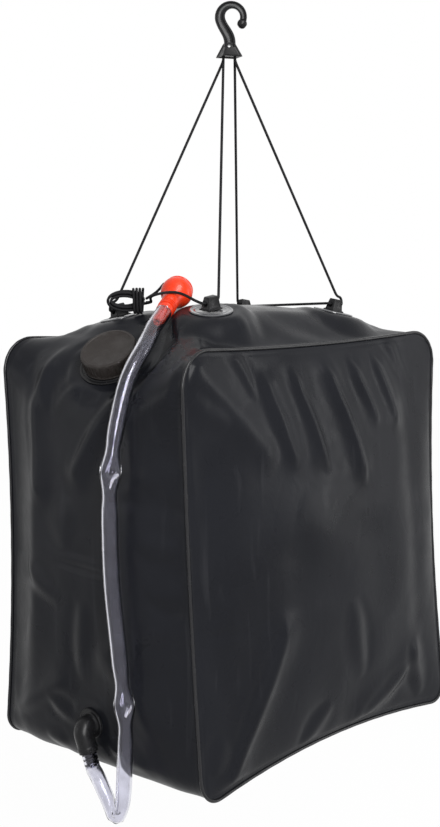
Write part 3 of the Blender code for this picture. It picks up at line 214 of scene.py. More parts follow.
def node(tree, kind, inputs=None, **settings):
    """One node with its settings, its plain values and its links."""
    made = tree.nodes.new(kind)
    for key, value in settings.items():
        setattr(made, key, value)
    for key, value in (inputs or {}).items():
        if isinstance(value, bpy.types.NodeSocket):
            tree.links.new(value, made.inputs[key])
        else:
            made.inputs[key].default_value = value
    return made


def noise(tree, where, scale, detail=3.0, distortion=0.0):
    """Plain noise at so many features per metre."""
    return node(tree, "ShaderNodeTexNoise", {"Vector": where, "Scale": scale, "Detail": detail,
                                             "Distortion": distortion}).outputs["Fac"]


def fit_range(tree, value, low, high, to_low=0.0, to_high=1.0):
    """A value brought from one range to another, and held inside it."""
    return node(tree, "ShaderNodeMapRange", {"Value": value, "From Min": low, "From Max": high,
                                             "To Min": to_low, "To Max": to_high}).outputs["Result"]


def calculated(tree, operation, first, second=0.0):
    """What one Math node makes of its values."""
    return node(tree, "ShaderNodeMath", {0: first, 1: second}, operation=operation).outputs[0]


def plus(tree, first, second):
    """Two values added."""
    return calculated(tree, "ADD", first, second)


def times(tree, first, second):
    """Two values multiplied."""
    return calculated(tree, "MULTIPLY", first, second)


def toned(tree, colour, tone):
    """A colour made darker or lighter."""
    return node(tree, "ShaderNodeVectorMath", {0: colour, 3: tone}, operation="SCALE").outputs[0]


def blended(tree, share, first, second):
    """Two colours mixed by a share."""
    return node(tree, "ShaderNodeMix", {0: share, 6: first, 7: second}, data_type="RGBA").outputs[2]


def stretched(tree, where, scale, turn=(0.0, 0.0, 0.0)):
    """Places drawn out along one direction, for streaks, scratches and fibres."""
    return node(tree, "ShaderNodeMapping", {"Vector": where, "Rotation": turn, "Scale": scale}).outputs[0]


def film_surface(tree, given):
    """Thin welded film: cloudy gloss, small crinkles, a fine embossed grain and rubbed streaks."""
    where = given["Vector"]
    cloud = noise(tree, where, scale=7.0, detail=3.0, distortion=0.6)
    smear = noise(tree, where, scale=32.0, detail=4.0, distortion=1.2)
    drawn_out = stretched(tree, where, (90.0, 90.0, 9.0))
    streak = fit_range(tree, noise(tree, drawn_out, scale=1.0, detail=5.0, distortion=0.4), 0.60, 0.74)
    clouded = toned(tree, given["Colour"], fit_range(tree, cloud, 0.3, 0.7, 0.86, 1.16))
    wander = plus(tree, fit_range(tree, smear, 0.3, 0.7, -0.05, 0.06),
                  fit_range(tree, cloud, 0.3, 0.7, -0.03, 0.03))
    rough = plus(tree, given["Roughness"], wander)
    broad = noise(tree, where, scale=38.0, detail=3.0, distortion=0.9)
    fine = noise(tree, where, scale=150.0, detail=2.0, distortion=0.3)
    crinkle = plus(tree, times(tree, broad, given["Crinkle"]), times(tree, fine, 0.10))
    grain = node(tree, "ShaderNodeTexVoronoi", {"Vector": where, "Scale": 700.0}, feature="SMOOTH_F1")
    return {"Colour": blended(tree, times(tree, streak, 0.10), clouded, given["Rub colour"]),
            "Roughness": plus(tree, rough, times(tree, streak, 0.06)),
            "Height": plus(tree, crinkle, times(tree, grain.outputs["Distance"], 0.03))}


def moulding_skin(tree, given):
    """Moulded plastic: a very fine spark-eroded grain, slow waves and a faint change of tone."""
    where = given["Vector"]
    slow = noise(tree, where, scale=60.0, detail=2.0, distortion=0.5)
    grain = noise(tree, where, scale=1900.0, detail=2.0)
    cloud = noise(tree, where, scale=220.0, detail=3.0)
    wander = fit_range(tree, cloud, 0.3, 0.7, -0.06, 0.06)
    return {"Colour": toned(tree, given["Colour"], fit_range(tree, slow, 0.3, 0.7, 0.90, 1.10)),
            "Roughness": plus(tree, given["Roughness"], wander),
            "Height": plus(tree, times(tree, grain, given["Grain"]), times(tree, slow, 0.6))}


def handling_marks(tree, given):
    """Fine scratches and thumbed patches: a mask, with what it adds to the roughness."""
    where = given["Vector"]
    thin = stretched(tree, where, scale=(1400.0, 60.0, 60.0), turn=(0.3, 0.5, 0.9))
    scratch = fit_range(tree, noise(tree, thin, scale=1.0, detail=2.0), 0.66, 0.72)
    patch = noise(tree, where, scale=90.0, detail=3.0, distortion=0.8)
    thumb = fit_range(tree, patch, 0.52, 0.68)
    both = plus(tree, times(tree, scratch, 0.5), times(tree, thumb, 0.35))
    mask = times(tree, both, given["Amount"])
    return {"Mask": mask, "Roughness": times(tree, mask, 0.12)}


def braid(tree, given):
    """Two sets of strands that cross round a cord, read from its own map, with painted shade in the gaps
    between strands and painted highlight on their crowns.
    """
    parts = node(tree, "ShaderNodeSeparateXYZ", {0: given["Vector"]})
    around = times(tree, parts.outputs[0], given["Strands"])
    strands = []
    for way in ("ADD", "SUBTRACT"):
        turn = times(tree, calculated(tree, way, around, parts.outputs[1]), 2.0 * math.pi)
        strands.append(calculated(tree, "ABSOLUTE", calculated(tree, "SINE", turn)))
    over = calculated(tree, "MAXIMUM", *strands)
    fibre = noise(tree, stretched(tree, given["Vector"], (60.0, 5.0, 1.0)), scale=1.0, detail=3.0)
    # Painted shade and highlight: the strand crowns are made lighter and the gaps between them darker, with a
    # fibre tone that varies at random on top.
    tone = fit_range(tree, plus(tree, over, times(tree, fibre, 0.5)), 0.4, 1.4, 0.45, 1.6)
    return {"Colour": toned(tree, given["Colour"], tone),
            "Roughness": fit_range(tree, fibre, 0.3, 0.7, 0.55, 0.85),
            "Height": plus(tree, over, times(tree, fibre, 0.3))}


def effect_group(build, **values):
    """A node group that makes an effect from places and some named values."""
    tree = bpy.data.node_groups.new(build.__name__, "ShaderNodeTree")
    tree.interface.new_socket("Vector", in_out="INPUT", socket_type="NodeSocketVector")
    for label, value in values.items():
        kind = "Color" if isinstance(value, tuple) else "Float"
        socket = tree.interface.new_socket(label.replace("_", " "), in_out="INPUT",
                                           socket_type="NodeSocket" + kind)
        socket.default_value = value
    made = build(tree, tree.nodes.new("NodeGroupInput").outputs)
    for label in made:
        kind = "Color" if label == "Colour" else "Float"
        tree.interface.new_socket(label, in_out="OUTPUT", socket_type="NodeSocket" + kind)
    ends = tree.nodes.new("NodeGroupOutput").inputs
    for label, value in made.items():
        tree.links.new(value, ends[label])
    return tree


DARK = (0.02, 0.02, 0.02, 1.0)
FILM_SURFACE = effect_group(film_surface, Colour=DARK, Rub_colour=(0.1, 0.1, 0.1, 1.0), Roughness=0.35,
                            Crinkle=1.0)
MOULDING_SKIN = effect_group(moulding_skin, Colour=DARK, Roughness=0.4, Grain=1.0)
HANDLING_MARKS = effect_group(handling_marks, Amount=1.0)
BRAID = effect_group(braid, Colour=DARK, Strands=6.0)


def material(name, effect, effect_inputs, relief, marks=0.0, uv=False, **sockets):
    """A material with one effect group for its colour, roughness and relief, and its own shader values."""
    made = bpy.data.materials.new(name + "_finish")
    made.use_nodes = True
    tree = made.node_tree
    shader = tree.nodes["Principled BSDF"]
    where = node(tree, "ShaderNodeTexCoord").outputs["UV" if uv else "Object"]
    skin = node(tree, "ShaderNodeGroup", {"Vector": where, **effect_inputs}, node_tree=effect)
    colour, rough = skin.outputs["Colour"], skin.outputs["Roughness"]
    if marks:
        wear = node(tree, "ShaderNodeGroup", {"Vector": where, "Amount": marks}, node_tree=HANDLING_MARKS)
        rough = plus(tree, rough, wear.outputs["Roughness"])
        colour = blended(tree, times(tree, wear.outputs["Mask"], 0.06), colour, (0.5, 0.5, 0.5, 1.0))
    bump = node(tree, "ShaderNodeBump", {"Height": skin.outputs["Height"], "Distance": relief})
    for value, socket in ((colour, "Base Color"), (rough, "Roughness"), (bump.outputs["Normal"], "Normal")):
        tree.links.new(value, shader.inputs[socket])
    for key, value in sockets.items():
        shader.inputs[key.replace("_", " ")].default_value = value
    return made


def plain(values):
    """A colour with full cover."""
    return (*values, 1.0)


def film(name, colour, rub_colour, roughness, crinkle, relief, **sockets):
    """A material of the film, or of what is welded to it."""
    return material(name, FILM_SURFACE, {"Colour": plain(colour), "Rub colour": plain(rub_colour),
                                         "Roughness": roughness, "Crinkle": crinkle}, relief, **sockets)


def moulded(name, colour, roughness, grain, relief, **sockets):
    """A material of a moulded piece."""
    return material(name, MOULDING_SKIN, {"Colour": plain(colour), "Roughness": roughness, "Grain": grain},
                    relief, **sockets)


BLACK_FILM = film("black_film", (0.0060, 0.0064, 0.0082), (0.05, 0.05, 0.055), roughness=0.30, crinkle=1.0,
                  relief=0.00030, Specular_IOR_Level=0.09)
BLACK_WELD = film("black_weld", (0.008, 0.008, 0.009), (0.05, 0.05, 0.05), roughness=0.24, crinkle=0.6,
                  relief=0.00030, Specular_IOR_Level=0.25)
CLEAR_PATCH = film("clear_patch", (0.055, 0.056, 0.060), (0.2, 0.2, 0.21), roughness=0.14, crinkle=0.5,
                   relief=0.00080, Coat_Weight=0.6, Coat_Roughness=0.05)
BLACK_PLASTIC = moulded("black_plastic", (0.0050, 0.0050, 0.0056), roughness=0.30, grain=0.5, relief=0.00002,
                        marks=0.25, Specular_IOR_Level=0.18)
CAP_PLASTIC = moulded("cap_plastic", (0.0120, 0.0095, 0.0084), roughness=0.50, grain=1.0, relief=0.00015,
                      marks=0.8, Specular_IOR_Level=0.22)
SEAL_RUBBER = moulded("seal_rubber", (0.018, 0.018, 0.018), roughness=0.72, grain=0.8, relief=0.00012)
CLEAR_HOSE = moulded("clear_hose", (0.765, 0.765, 0.83), roughness=0.05, grain=0.05, relief=0.00010,
                     marks=0.3, Transmission_Weight=1.0, IOR=1.52, Specular_Tint=plain((0.62, 0.61, 0.68)))
HEAD_PLASTIC = moulded("head_plastic", (0.54, 0.027, 0.004), roughness=0.28, grain=0.4, relief=0.00010,
                       marks=0.4, Specular_IOR_Level=0.30, Subsurface_Weight=0.03,
                       Subsurface_Radius=(0.004, 0.001, 0.0005), Subsurface_Scale=1.0)
CORD_BRAID = material("cord_braid", BRAID, {"Colour": plain((0.0050, 0.0050, 0.0056)), "Strands": 4.0},
                      relief=0.00005, uv=True, Specular_IOR_Level=0.12)


# Piece tools

def ease(share):
    """0 to 1 with level ends."""
    share = np.clip(share, 0.0, 1.0)
    return share * share * (3.0 - 2.0 * share)


def hump(share):
    """0 at both ends, 1 in the middle."""
    share = np.clip(share, 0.0, 1.0)
    return 4.0 * share * (1.0 - share)


def bell(value, middle, spread):
    """1 at a middle value, fading to 0 on both sides."""
    return np.exp(-((value - middle) / spread) ** 2)


def select(*items):
    """Makes these the only pieces selected, with the first one active."""
    bpy.ops.object.select_all(action="DESELECT")
    for item in items:
        item.select_set(True)
    bpy.context.view_layer.objects.active = items[0]


def begin(name, add, **values):
    """Adds a primitive, names it and opens it in edit mode with nothing selected."""
    bpy.ops.object.select_all(action="DESELECT")
    add(**values)
    item = bpy.context.active_object
    item.name = name
    item.data.name = name
    bpy.ops.object.transform_apply(location=True, rotation=True, scale=True)
    bpy.ops.object.mode_set(mode="EDIT")
    bpy.ops.mesh.select_all(action="DESELECT")
    return item


def pick(item, kind, test):
    """Selects only the faces or points that pass a test."""
    bpy.ops.mesh.select_mode(type={"faces": "FACE", "verts": "VERT"}[kind])
    bpy.ops.mesh.select_all(action="DESELECT")
    work = bmesh.from_edit_mesh(item.data)
    for element in getattr(work, kind):
        if test(element):
            element.select_set(True)
    work.select_flush_mode()
    bmesh.update_edit_mesh(item.data)


def close_up():
    """Merges doubles, turns all faces outwards and leaves edit mode."""
    bpy.ops.mesh.select_all(action="SELECT")
    bpy.ops.mesh.remove_doubles(threshold=0.000008)
    bpy.ops.mesh.normals_make_consistent(inside=False)
    bpy.ops.object.mode_set(mode="OBJECT")


def modify(item, kind, **settings):
    """Adds one modifier and applies it."""
    select(item)
    step = item.modifiers.new(kind.title(), kind)
    for key, value in settings.items():
        setattr(step, key, value)
    bpy.ops.object.modifier_apply(modifier=step.name)


def carve(item, cutter, operation="DIFFERENCE"):
    """Cuts another piece out of this one, or joins it on, and removes it."""
    modify(item, "BOOLEAN", operation=operation, object=cutter, solver="EXACT")
    bpy.data.objects.remove(cutter, do_unlink=True)


def smooth(item, angle=32.0):
    """Smooth shading with sharp edges kept."""
    select(item)
    bpy.ops.object.shade_smooth_by_angle(angle=math.radians(angle))


def joined(*items):
    """Several pieces as one."""
    select(*items)
    bpy.ops.object.join()
    return items[0]


def settle(item, finish, body, node_name, place=None):
    """Puts a finished piece in its frame, with its finish, on its body, for the node that it stands for."""
    if place is not None:
        item.matrix_world = place
    select(item)
    bpy.ops.object.transform_apply(location=True, rotation=True, scale=True)
    item.data.materials.clear()
    item.data.materials.append(finish)
    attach(item, body)
    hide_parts(node_name)
    return item


def new_piece(name, points, faces):
    """A piece from its points and faces."""
    mesh = bpy.data.meshes.new(name)
    mesh.from_pydata(points.tolist(), [], faces)
    item = bpy.data.objects.new(name, mesh)
    bpy.context.scene.collection.objects.link(item)
    return item


def turned(name, profile, sides, ring=False):
    """A round piece about +Z, drawn from a circle ring by ring through (radius, height) points."""
    thinnest = 0.000001
    radius, height = max(profile[0][0], thinnest), profile[0][1]
    item = begin(name, bpy.ops.mesh.primitive_circle_add, vertices=sides, radius=radius,
                 location=(0, 0, height))
    bpy.ops.mesh.select_all(action="SELECT")
    for next_radius, next_height in [*profile[1:], profile[0]] if ring else profile[1:]:
        next_radius = max(next_radius, thinnest)
        bpy.ops.mesh.extrude_edges_move(TRANSFORM_OT_translate={"value": (0, 0, next_height - height)})
        share = next_radius / radius
        bpy.ops.transform.resize(value=(share, share, 1.0), center_override=(0, 0, next_height))
        radius, height = next_radius, next_height
    close_up()
    return item


def directions_across(path, first, closed):
    """Two directions square to a line at each point, carried along it without twist."""
    if closed:
        ahead = np.roll(path, -1, axis=0) - np.roll(path, 1, axis=0)
    else:
        ahead = np.gradient(path, axis=0)
    ahead = ahead / np.linalg.norm(ahead, axis=1)[:, None]
    side = np.array(first, dtype=float)
    sides = []
    for tangent in ahead:
        side = side - tangent * side.dot(tangent)
        side = side / np.linalg.norm(side)
        sides.append(side)
    return np.array(sides), np.cross(ahead, np.array(sides))


def round_tip(point, inner, radius):
    """Places and radii that close a tube's end, from its full width to its tip."""
    way = (point - inner) / np.linalg.norm(point - inner)
    tip = 0.93
    shares = (0.45, 0.75, tip)
    places = [point + way * radius * (share - tip) for share in shares]
    return places, [radius * math.sqrt(1.0 - share ** 2) for share in shares]


def swept(name, path, radii, sides, first=(0.0, 0.0, 1.0), closed=False, section=None, pitch=0.01,
          round_ends=False):
    """A tube along a line. Its map runs round it and along it, one unit for each pitch."""
    path = np.array(path, dtype=float)
    radii = np.broadcast_to(np.array(radii, dtype=float), (len(path),)).copy()
    if round_ends:
        head, head_radii = round_tip(path[0], path[1], radii[0])
        tail, tail_radii = round_tip(path[-1], path[-2], radii[-1])
        path = np.vstack([head[::-1], path[1:-1], tail])
        radii = np.concatenate([head_radii[::-1], radii[1:-1], tail_radii])
    right, up = directions_across(path, first, closed)
    angles = np.arange(sides) * 2.0 * math.pi / sides
    shape = np.stack([np.cos(angles), np.sin(angles)], axis=1) if section is None else np.array(section)
    spokes = shape[None, :, 0, None] * right[:, None, :] + shape[None, :, 1, None] * up[:, None, :]
    points = path[:, None, :] + radii[:, None, None] * spokes
    rows, count = points.shape[:2]
    steps = distance_along(path) / pitch
    faces, maps = [], []
    for row in range(rows if closed else rows - 1):
        far = (row + 1) % rows
        low = steps[row]
        high = steps[far] if far else steps[-1] + steps[1]
        for column in range(count):
            turn = (column + 1) % count
            faces.append((row * count + column, row * count + turn, far * count + turn, far * count + column))
            left, right_side = column / count, (column + 1) / count
            maps += [(left, low), (right_side, low), (right_side, high), (left, high)]
    if not closed:
        faces.append(tuple(reversed(range(count))))
        faces.append(tuple((rows - 1) * count + column for column in range(count)))
        maps += [(0.0, steps[0])] * count + [(0.0, steps[-1])] * count
    item = new_piece(name, points.reshape(-1, 3), faces)
    layer = item.data.uv_layers.new(name="along")
    layer.data.foreach_set("uv", np.array(maps, dtype=np.float32).ravel())
    item.data.shade_smooth()
    return item


def waves(points, seed, lengths, height):
    """Slow ripples over a surface: sines in fixed directions."""
    rng = np.random.default_rng(seed)
    total = np.zeros(points.shape[:-1])
    for length in lengths:
        way = rng.normal(size=3)
        way /= np.linalg.norm(way)
        bend = rng.normal(size=3)
        bend /= np.linalg.norm(bend)
        phase = rng.uniform(0.0, 2.0 * math.pi, 2)
        swing = 0.6 * np.sin(points @ bend * 2.0 * math.pi / (length * 2.3) + phase[1])
        total += np.sin(points @ way * 2.0 * math.pi / length + phase[0] + swing)
    return total * height / math.sqrt(len(lengths))


def crease(u, v, line, width, height, skew=0.0, taper="both"):
    """Height of one fold along a line of (u, v) points. It narrows and fades towards its tips."""
    line = in_metres(line)
    width, height = in_metres((width, height))
    lengths = distance_along(line)
    best = np.full(u.shape, 1e9)
    share = np.zeros(u.shape)
    side = np.zeros(u.shape)
    for start, run, before in zip(line, np.diff(line, axis=0), lengths):
        length = np.linalg.norm(run)
        du = u - start[0]
        dv = v - start[1]
        t = np.clip((du * run[0] + dv * run[1]) / length ** 2, 0.0, 1.0)
        away = np.hypot(du - t * run[0], dv - t * run[1])
        near = away < best
        best = np.where(near, away, best)
        share = np.where(near, (before + t * length) / lengths[-1], share)
        side = np.where(near, np.sign(run[0] * dv - run[1] * du), side)
    if taper == "both":
        fade = hump(share) ** 0.7
        wide = width * (0.55 + 0.45 * hump(share))
    else:
        fade = np.clip(1.0 - share, 0.0, 1.0) ** 0.8
        wide = width * (1.0 - 0.62 * share)
    reach = best / wide
    ridge = bell(reach, 0.0, 1.0) - 0.35 * bell(reach, 1.9, 0.8)
    return height * fade * ridge * (1.0 + skew * np.clip(side * reach, -1.5, 1.5))


def film_grid(name, points):
    """A grid of film, its points set from rows and columns of places, opened in edit mode."""
    rows, columns = points.shape[:2]
    item = begin(name, bpy.ops.mesh.primitive_grid_add, size=1.0, x_subdivisions=columns - 1,
                 y_subdivisions=rows - 1)
    bpy.ops.object.mode_set(mode="OBJECT")
    item.data.vertices.foreach_set("co", points.reshape(-1).astype(np.float32))
    item.data.update()
    bpy.ops.object.mode_set(mode="EDIT")
    return item


def normals_of(points):
    """Directions square to a grid of places."""
    across = np.gradient(points, axis=1)
    down = np.gradient(points, axis=0)
    square = np.cross(across, down)
    return square / (np.linalg.norm(square, axis=2)[:, :, None] + 1e-12)


# Shape of the bag, as in the model

def bowed(x, z, seam_share):
    """Draws the sides in at the seams and lets them bulge between the seams."""
    high = z / BAG_HEIGHT
    side = (SIDE_BULGE * (1.0 - seam_share) - SIDE_BOW * seam_share) * hump(high)
    middle = hump(x / BAG_WIDTH + 0.5) * seam_share
    return x + 2.0 * x / BAG_WIDTH * side, z + (BASE_BOW * (1.0 - high) - TOP_BOW * high) * middle


def leaning(z, side):
    """How far the front (-1) or rear (1) face leans out at each height."""
    return (FRONT_LEAN if side < 0 else -REAR_LEAN) * (2.0 * z / BAG_HEIGHT - 1.0)


def seam_y(x, z, side):
    """Depth of the front (-1) or rear (1) seam."""
    draw = FACE_BOW * np.minimum(1.0, hump(z / BAG_HEIGHT) + hump(x / BAG_WIDTH + 0.5))
    return side * (BAG_DEPTH / 2 - draw) + leaning(z, side)


RUN_CUTS = (46, 14, 92, 36, 66, 36, 92, 14, 46)


def round_outline(top_radius):
    """Flat x and z round the bag from mid base by the left, and the outward directions there.

    top_radius is the radius of the top corners, or one for each row.
    """
    radius = np.atleast_1d(top_radius)[:, None]
    zero = np.zeros_like(radius)
    low, top = SEAM_BASE_RADIUS + zero, BAG_HEIGHT + zero
    left, right = -BAG_WIDTH / 2 + zero, BAG_WIDTH / 2 + zero
    straights = {
        0: (zero, zero, left + low, zero, 0, -1),
        2: (left, low, left, top - radius, -1, 0),
        4: (left + radius, top, right - radius, top, 0, 1),
        6: (right, top - radius, right, low, 1, 0),
        8: (right - low, zero, zero, zero, 0, -1),
    }
    arcs = {
        1: (left + low, low, low, -90),
        3: (left + radius, top - radius, radius, -180),
        5: (right - radius, top - radius, radius, -270),
        7: (right - low, low, low, -360),
    }
    xs, zs, nx, nz = [], [], [], []
    for number, cuts in enumerate(RUN_CUTS):
        share = np.arange(cuts) / cuts
        if number in arcs:
            centre_x, centre_z, size, start = arcs[number]
            angle = np.radians(start - 90.0 * share)[None, :]
            xs.append(centre_x + size * np.cos(angle))
            zs.append(centre_z + size * np.sin(angle))
            nx.append(np.cos(angle) + zero)
            nz.append(np.sin(angle) + zero)
        else:
            x0, z0, x1, z1, way_x, way_z = straights[number]
            xs.append(x0 + (x1 - x0) * share[None, :])
            zs.append(z0 + (z1 - z0) * share[None, :])
            nx.append(np.full((len(radius), cuts), float(way_x)))
            nz.append(np.full((len(radius), cuts), float(way_z)))
    return [np.hstack([*part, part[0][:, :1]]) for part in (xs, zs, nx, nz)]


def tent(x, y, deep):
    """Rise of the top film above its seams, drawn up by the lugs."""
    across = np.clip((BAG_WIDTH / 2 - np.abs(x)) / (BAG_WIDTH / 2 - LUG_X), 0.0, 1.0) ** 2
    right = np.clip(x / (2.0 * LUG_X) + 0.5, 0.0, 1.0)
    back = np.clip(y / (2.0 * LUG_Y) + 0.5, 0.0, 1.0)
    front = LUG_RISES["front_left"] * (1.0 - right) + LUG_RISES["front_right"] * right
    rear = LUG_RISES["rear_left"] * (1.0 - right) + LUG_RISES["rear_right"] * right
    return (front * (1.0 - back) + rear * back + TOP_CROWN * hump(back) * hump(right)) * across * deep


# Fittings on the film: frame, radius, flat margin round it and the width over which the film curves again

PADS = [(matrix, PATCH_RADIUS, 0.0030, 0.026) for matrix in LUG_FRAMES.values()]
PADS += [(FILLER_FRAME, FLANGE_RADIUS, 0.0035, 0.036), (OUTLET_FRAME, OUTLET_FLANGE_RADIUS, 0.0030, 0.022)]


def seen_from(matrix, points):
    """Places as seen from a frame, and how far they are from its axis."""
    local = (points - np.array(matrix.translation)) @ np.array(matrix.to_3x3())
    return local, np.hypot(local[..., 0], local[..., 1])


def seated(points):
    """Flattens the film round each fitting."""
    for matrix, radius, margin, blend in PADS:
        local, reach = seen_from(matrix, points)
        share = ease((radius + margin + blend - reach) / blend)
        share = np.where(np.abs(local[..., 2]) < radius + margin + 0.01, share, 0.0)
        points = points - np.array(matrix.to_3x3().col[2]) * (local[..., 2] * share)[..., None]
    return points


def free_film(points):
    """1 where the film is free, 0 under a fitting."""
    share = np.ones(points.shape[:-1])
    for matrix, radius, margin, _ in PADS:
        local, reach = seen_from(matrix, points)
        near = np.abs(local[..., 2]) < 0.03
        share = np.where(near, share * ease((reach - radius - margin) / 0.012), share)
    return share


# Main folds of the film, close to the model's, in the plane of each face with heights above the base, in
# tenths of a millimetre: start and end across and up, half width, height outwards

FRONT_FOLDS = (
    (-1740, 3780, -1000, 3060, 160, 38), (-790, 3600, -610, 3000, 130, 34),
    (-410, 3600, -240, 2960, 130, 32), (100, 3600, 380, 2760, 140, 38), (520, 3620, 680, 3240, 130, 30),
    (890, 3620, 1060, 3200, 140, 33), (-1500, 240, -860, 1360, 180, 44), (1260, 640, 400, 280, 150, 34),
    (1310, 3200, 1400, 1100, 180, -22), (-1700, 3100, -1660, 1100, 140, -16),
)
REAR_FOLDS = (
    (-1460, 3850, -1200, 3240, 150, 36), (-920, 3850, -760, 3060, 140, 40),
    (-460, 3850, -560, 3200, 140, 32), (0, 3850, -160, 2980, 140, 40), (500, 3850, 360, 3180, 140, 32),
    (960, 3850, 740, 3040, 140, 38), (1540, 320, 1040, 1120, 180, 44),
    (-1560, 280, -1140, 980, 170, 38),
)
LEFT_FOLDS = (
    (630, 3800, 610, 2650, 140, 38), (-380, 3500, 80, 2860, 140, 40), (1000, 400, 360, 780, 160, 42),
    (-640, 3370, -1080, 3740, 160, 34), (-320, 1180, -860, 640, 160, 34),
    (840, 2950, 900, 1550, 200, -18), (-850, 2400, -860, 1120, 180, -22),
)
RIGHT_FOLDS = (
    (-980, 3500, -540, 2900, 160, 38), (960, 3480, 620, 2840, 160, 38),
    (-240, 3580, -210, 2660, 140, 36), (220, 3620, 180, 2840, 140, 34), (-900, 460, -180, 940, 160, 42),
    (900, 420, 260, 1000, 160, 42),
)
TOP_FOLDS = (
    (-640, -680, 0, -1040, 160, 18), (600, -600, -580, -580, 170, 20), (-560, 590, 540, 600, 170, 22),
    (660, 0, -280, -30, 220, -22),
)

# Finer creases, read off the photograph, in tenths of a millimetre: line, width, height, then skew and taper

FRONT_CREASES = (
    (((-920, 3780), (-860, 3500), (-740, 3160), (-600, 2840)), 60, 15, 0.5),
    (((-500, 3760), (-440, 3500), (-300, 3160), (-140, 2740)), 58, 18, 0.6),
    (((0, 3740), (100, 3420), (280, 3020), (430, 2560)), 62, 21, 0.6),
    (((400, 3800), (490, 3560), (720, 3120)), 56, 14, 0.5),
    (((780, 3820), (880, 3580), (1100, 3080)), 56, 14, 0.4),
    (((-1240, 3930), (-1150, 3780), (-1000, 3480)), 70, 18, 0.3, "end"),
    (((1120, 3920), (1220, 3700), (1380, 3460)), 80, 18, 0.2, "end"),
    (((-1880, 3620), (-1670, 3420), (-1400, 3300)), 80, 18, 0.3),
    (((-1560, 120), (-1280, 540), (-1040, 960), (-820, 1460)), 75, 20, 0.6),
    (((1220, 560), (800, 340), (440, 220)), 75, 16, -0.4),
    (((140, 1500), (220, 1120), (340, 660)), 100, 18, 0.3),
    (((-1820, 1500), (-1600, 1490), (-1310, 1470)), 50, -10), (((-520, 120), (-100, 500)), 90, 20, 0.3),
    (((-1760, 260), (-1610, 580)), 80, 20), (((1500, 200), (1390, 520), (1320, 840)), 100, 24, 0.3),
    (((-600, 2500), (-200, 2250), (300, 2100)), 300, 16),
    (((200, 2500), (600, 1800), (800, 1200)), 300, -16),
)
REAR_CREASES = (
    (((-980, 3900), (-820, 3500), (-740, 3000)), 60, 16, -0.4, "end"),
    (((-440, 3900), (-500, 3500), (-600, 3140)), 60, 14, 0.4, "end"),
    (((20, 3900), (-60, 3460), (-200, 2900)), 65, 18, 0.5, "end"),
    (((1000, 3900), (860, 3520), (700, 2980)), 60, 16, 0.4, "end"),
    (((1480, 3920), (1280, 3600)), 80, 18, 0.0, "end"),
    (((1600, 220), (1280, 660), (980, 1200)), 80, 20, -0.5), (((-600, 100), (-360, 500)), 100, 20),
    (((300, 100), (420, 480)), 100, 20), (((-1600, 3000), (-1580, 2200), (-1620, 1500)), 150, -20),
    (((1560, 3200), (1600, 2300), (1550, 1500)), 150, -20),
)
LEFT_CREASES = (
    (((360, 1970), (200, 1965), (-40, 1960), (-400, 1940)), 34, -15, 0.5),
    (((360, 2030), (0, 2015), (-360, 2000)), 40, 7),
    (((30, 3640), (250, 3500), (450, 3330)), 70, 24, 0.3, "end"),
    (((-430, 3580), (-180, 3240), (110, 2780)), 65, 18, 0.5),
    (((620, 3920), (660, 3260), (600, 2560)), 65, 14, 0.5),
    (((890, 3880), (620, 3670), (500, 3360)), 80, 20, 0.3),
    (((-700, 2840), (-920, 2920), (-1090, 2990)), 110, 26, 0.2),
    (((-680, 2340), (-1080, 2270)), 100, 26, 0.3), (((-800, 1890), (-1150, 1870)), 100, 22, 0.3),
    (((-680, 1420), (-1000, 1530), (-1200, 1610)), 100, 26, -0.3),
    (((0, 1650), (20, 1200), (40, 880)), 90, 22, 0.3),
    (((1060, 360), (580, 680), (260, 840)), 75, 20, 0.5), (((200, 440), (520, 620)), 70, 22),
    (((-230, 340), (-720, 240)), 85, 24, 0.2), (((350, 190), (640, 210)), 70, 20),
    (((820, 1900), (550, 1720), (320, 1600)), 90, 20, 0.3),
    (((-500, 2650), (-900, 2620), (-1180, 2580)), 80, -18),
    (((200, 2600), (300, 2350), (220, 2100)), 120, 18),
)
RIGHT_CREASES = (
    (((-1000, 3520), (-700, 3200), (-520, 2860)), 65, 18, 0.5), (((-960, 3000), (-660, 2860)), 80, 22),
    (((-980, 2300), (-600, 2220)), 90, 24, 0.3), (((-940, 1600), (-620, 1480)), 90, 24, -0.3),
    (((980, 2400), (640, 2320)), 90, 24, 0.3), (((960, 1680), (600, 1500)), 80, 22),
    (((-940, 440), (-500, 720), (-140, 960)), 75, 18, -0.5),
    (((940, 400), (520, 660), (240, 1040)), 75, 18, 0.5),
    (((-200, 2000), (40, 1600), (0, 1100)), 120, 22),
)
TOP_CREASES = (
    (((-940, -760), (-900, -900), (-820, -1000)), 80, 16, 0.3),
    (((-1200, -660), (-1400, -820), (-1500, -940)), 80, 16, 0.4),
    (((-1160, -360), (-1400, -480)), 80, 14, 0.3), (((1200, -620), (1460, -780)), 90, 16),
    (((1100, 660), (1380, 880)), 90, 16), (((-1160, 720), (-1400, 920)), 90, 16),
)
BASE_CREASES = (
    (((-1660, -880), (-1200, -600), (-700, -400)), 120, 22, 0.3),
    (((1660, -880), (1200, -660), (800, -300)), 120, 22, 0.3),
    (((-1660, 880), (-1200, 600), (-800, 200)), 120, 22, 0.3),
    (((1660, 880), (1240, 500), (900, 300)), 120, 22, 0.3),
)


def fold_lift(folds, u, v):
    """How far the main folds of one face lift the film at each place in that face's plane."""
    lift = 0.0
    for fold in folds:
        start_u, start_v, end_u, end_v, width, height = in_metres(fold)
        run_u, run_v = end_u - start_u, end_v - start_v
        share = np.clip(((u - start_u) * run_u + (v - start_v) * run_v) / (run_u ** 2 + run_v ** 2), 0.0, 1.0)
        away = np.hypot(u - start_u - share * run_u, v - start_v - share * run_v)
        lift = lift + height * bell(away, 0.0, width)
    return lift


def all_folds(folds, creases, u, v):
    """The height of a face's main folds and finer creases at each place."""
    return fold_lift(folds, u, v) + sum(crease(u, v, *fine) for fine in creases)


# Film bag

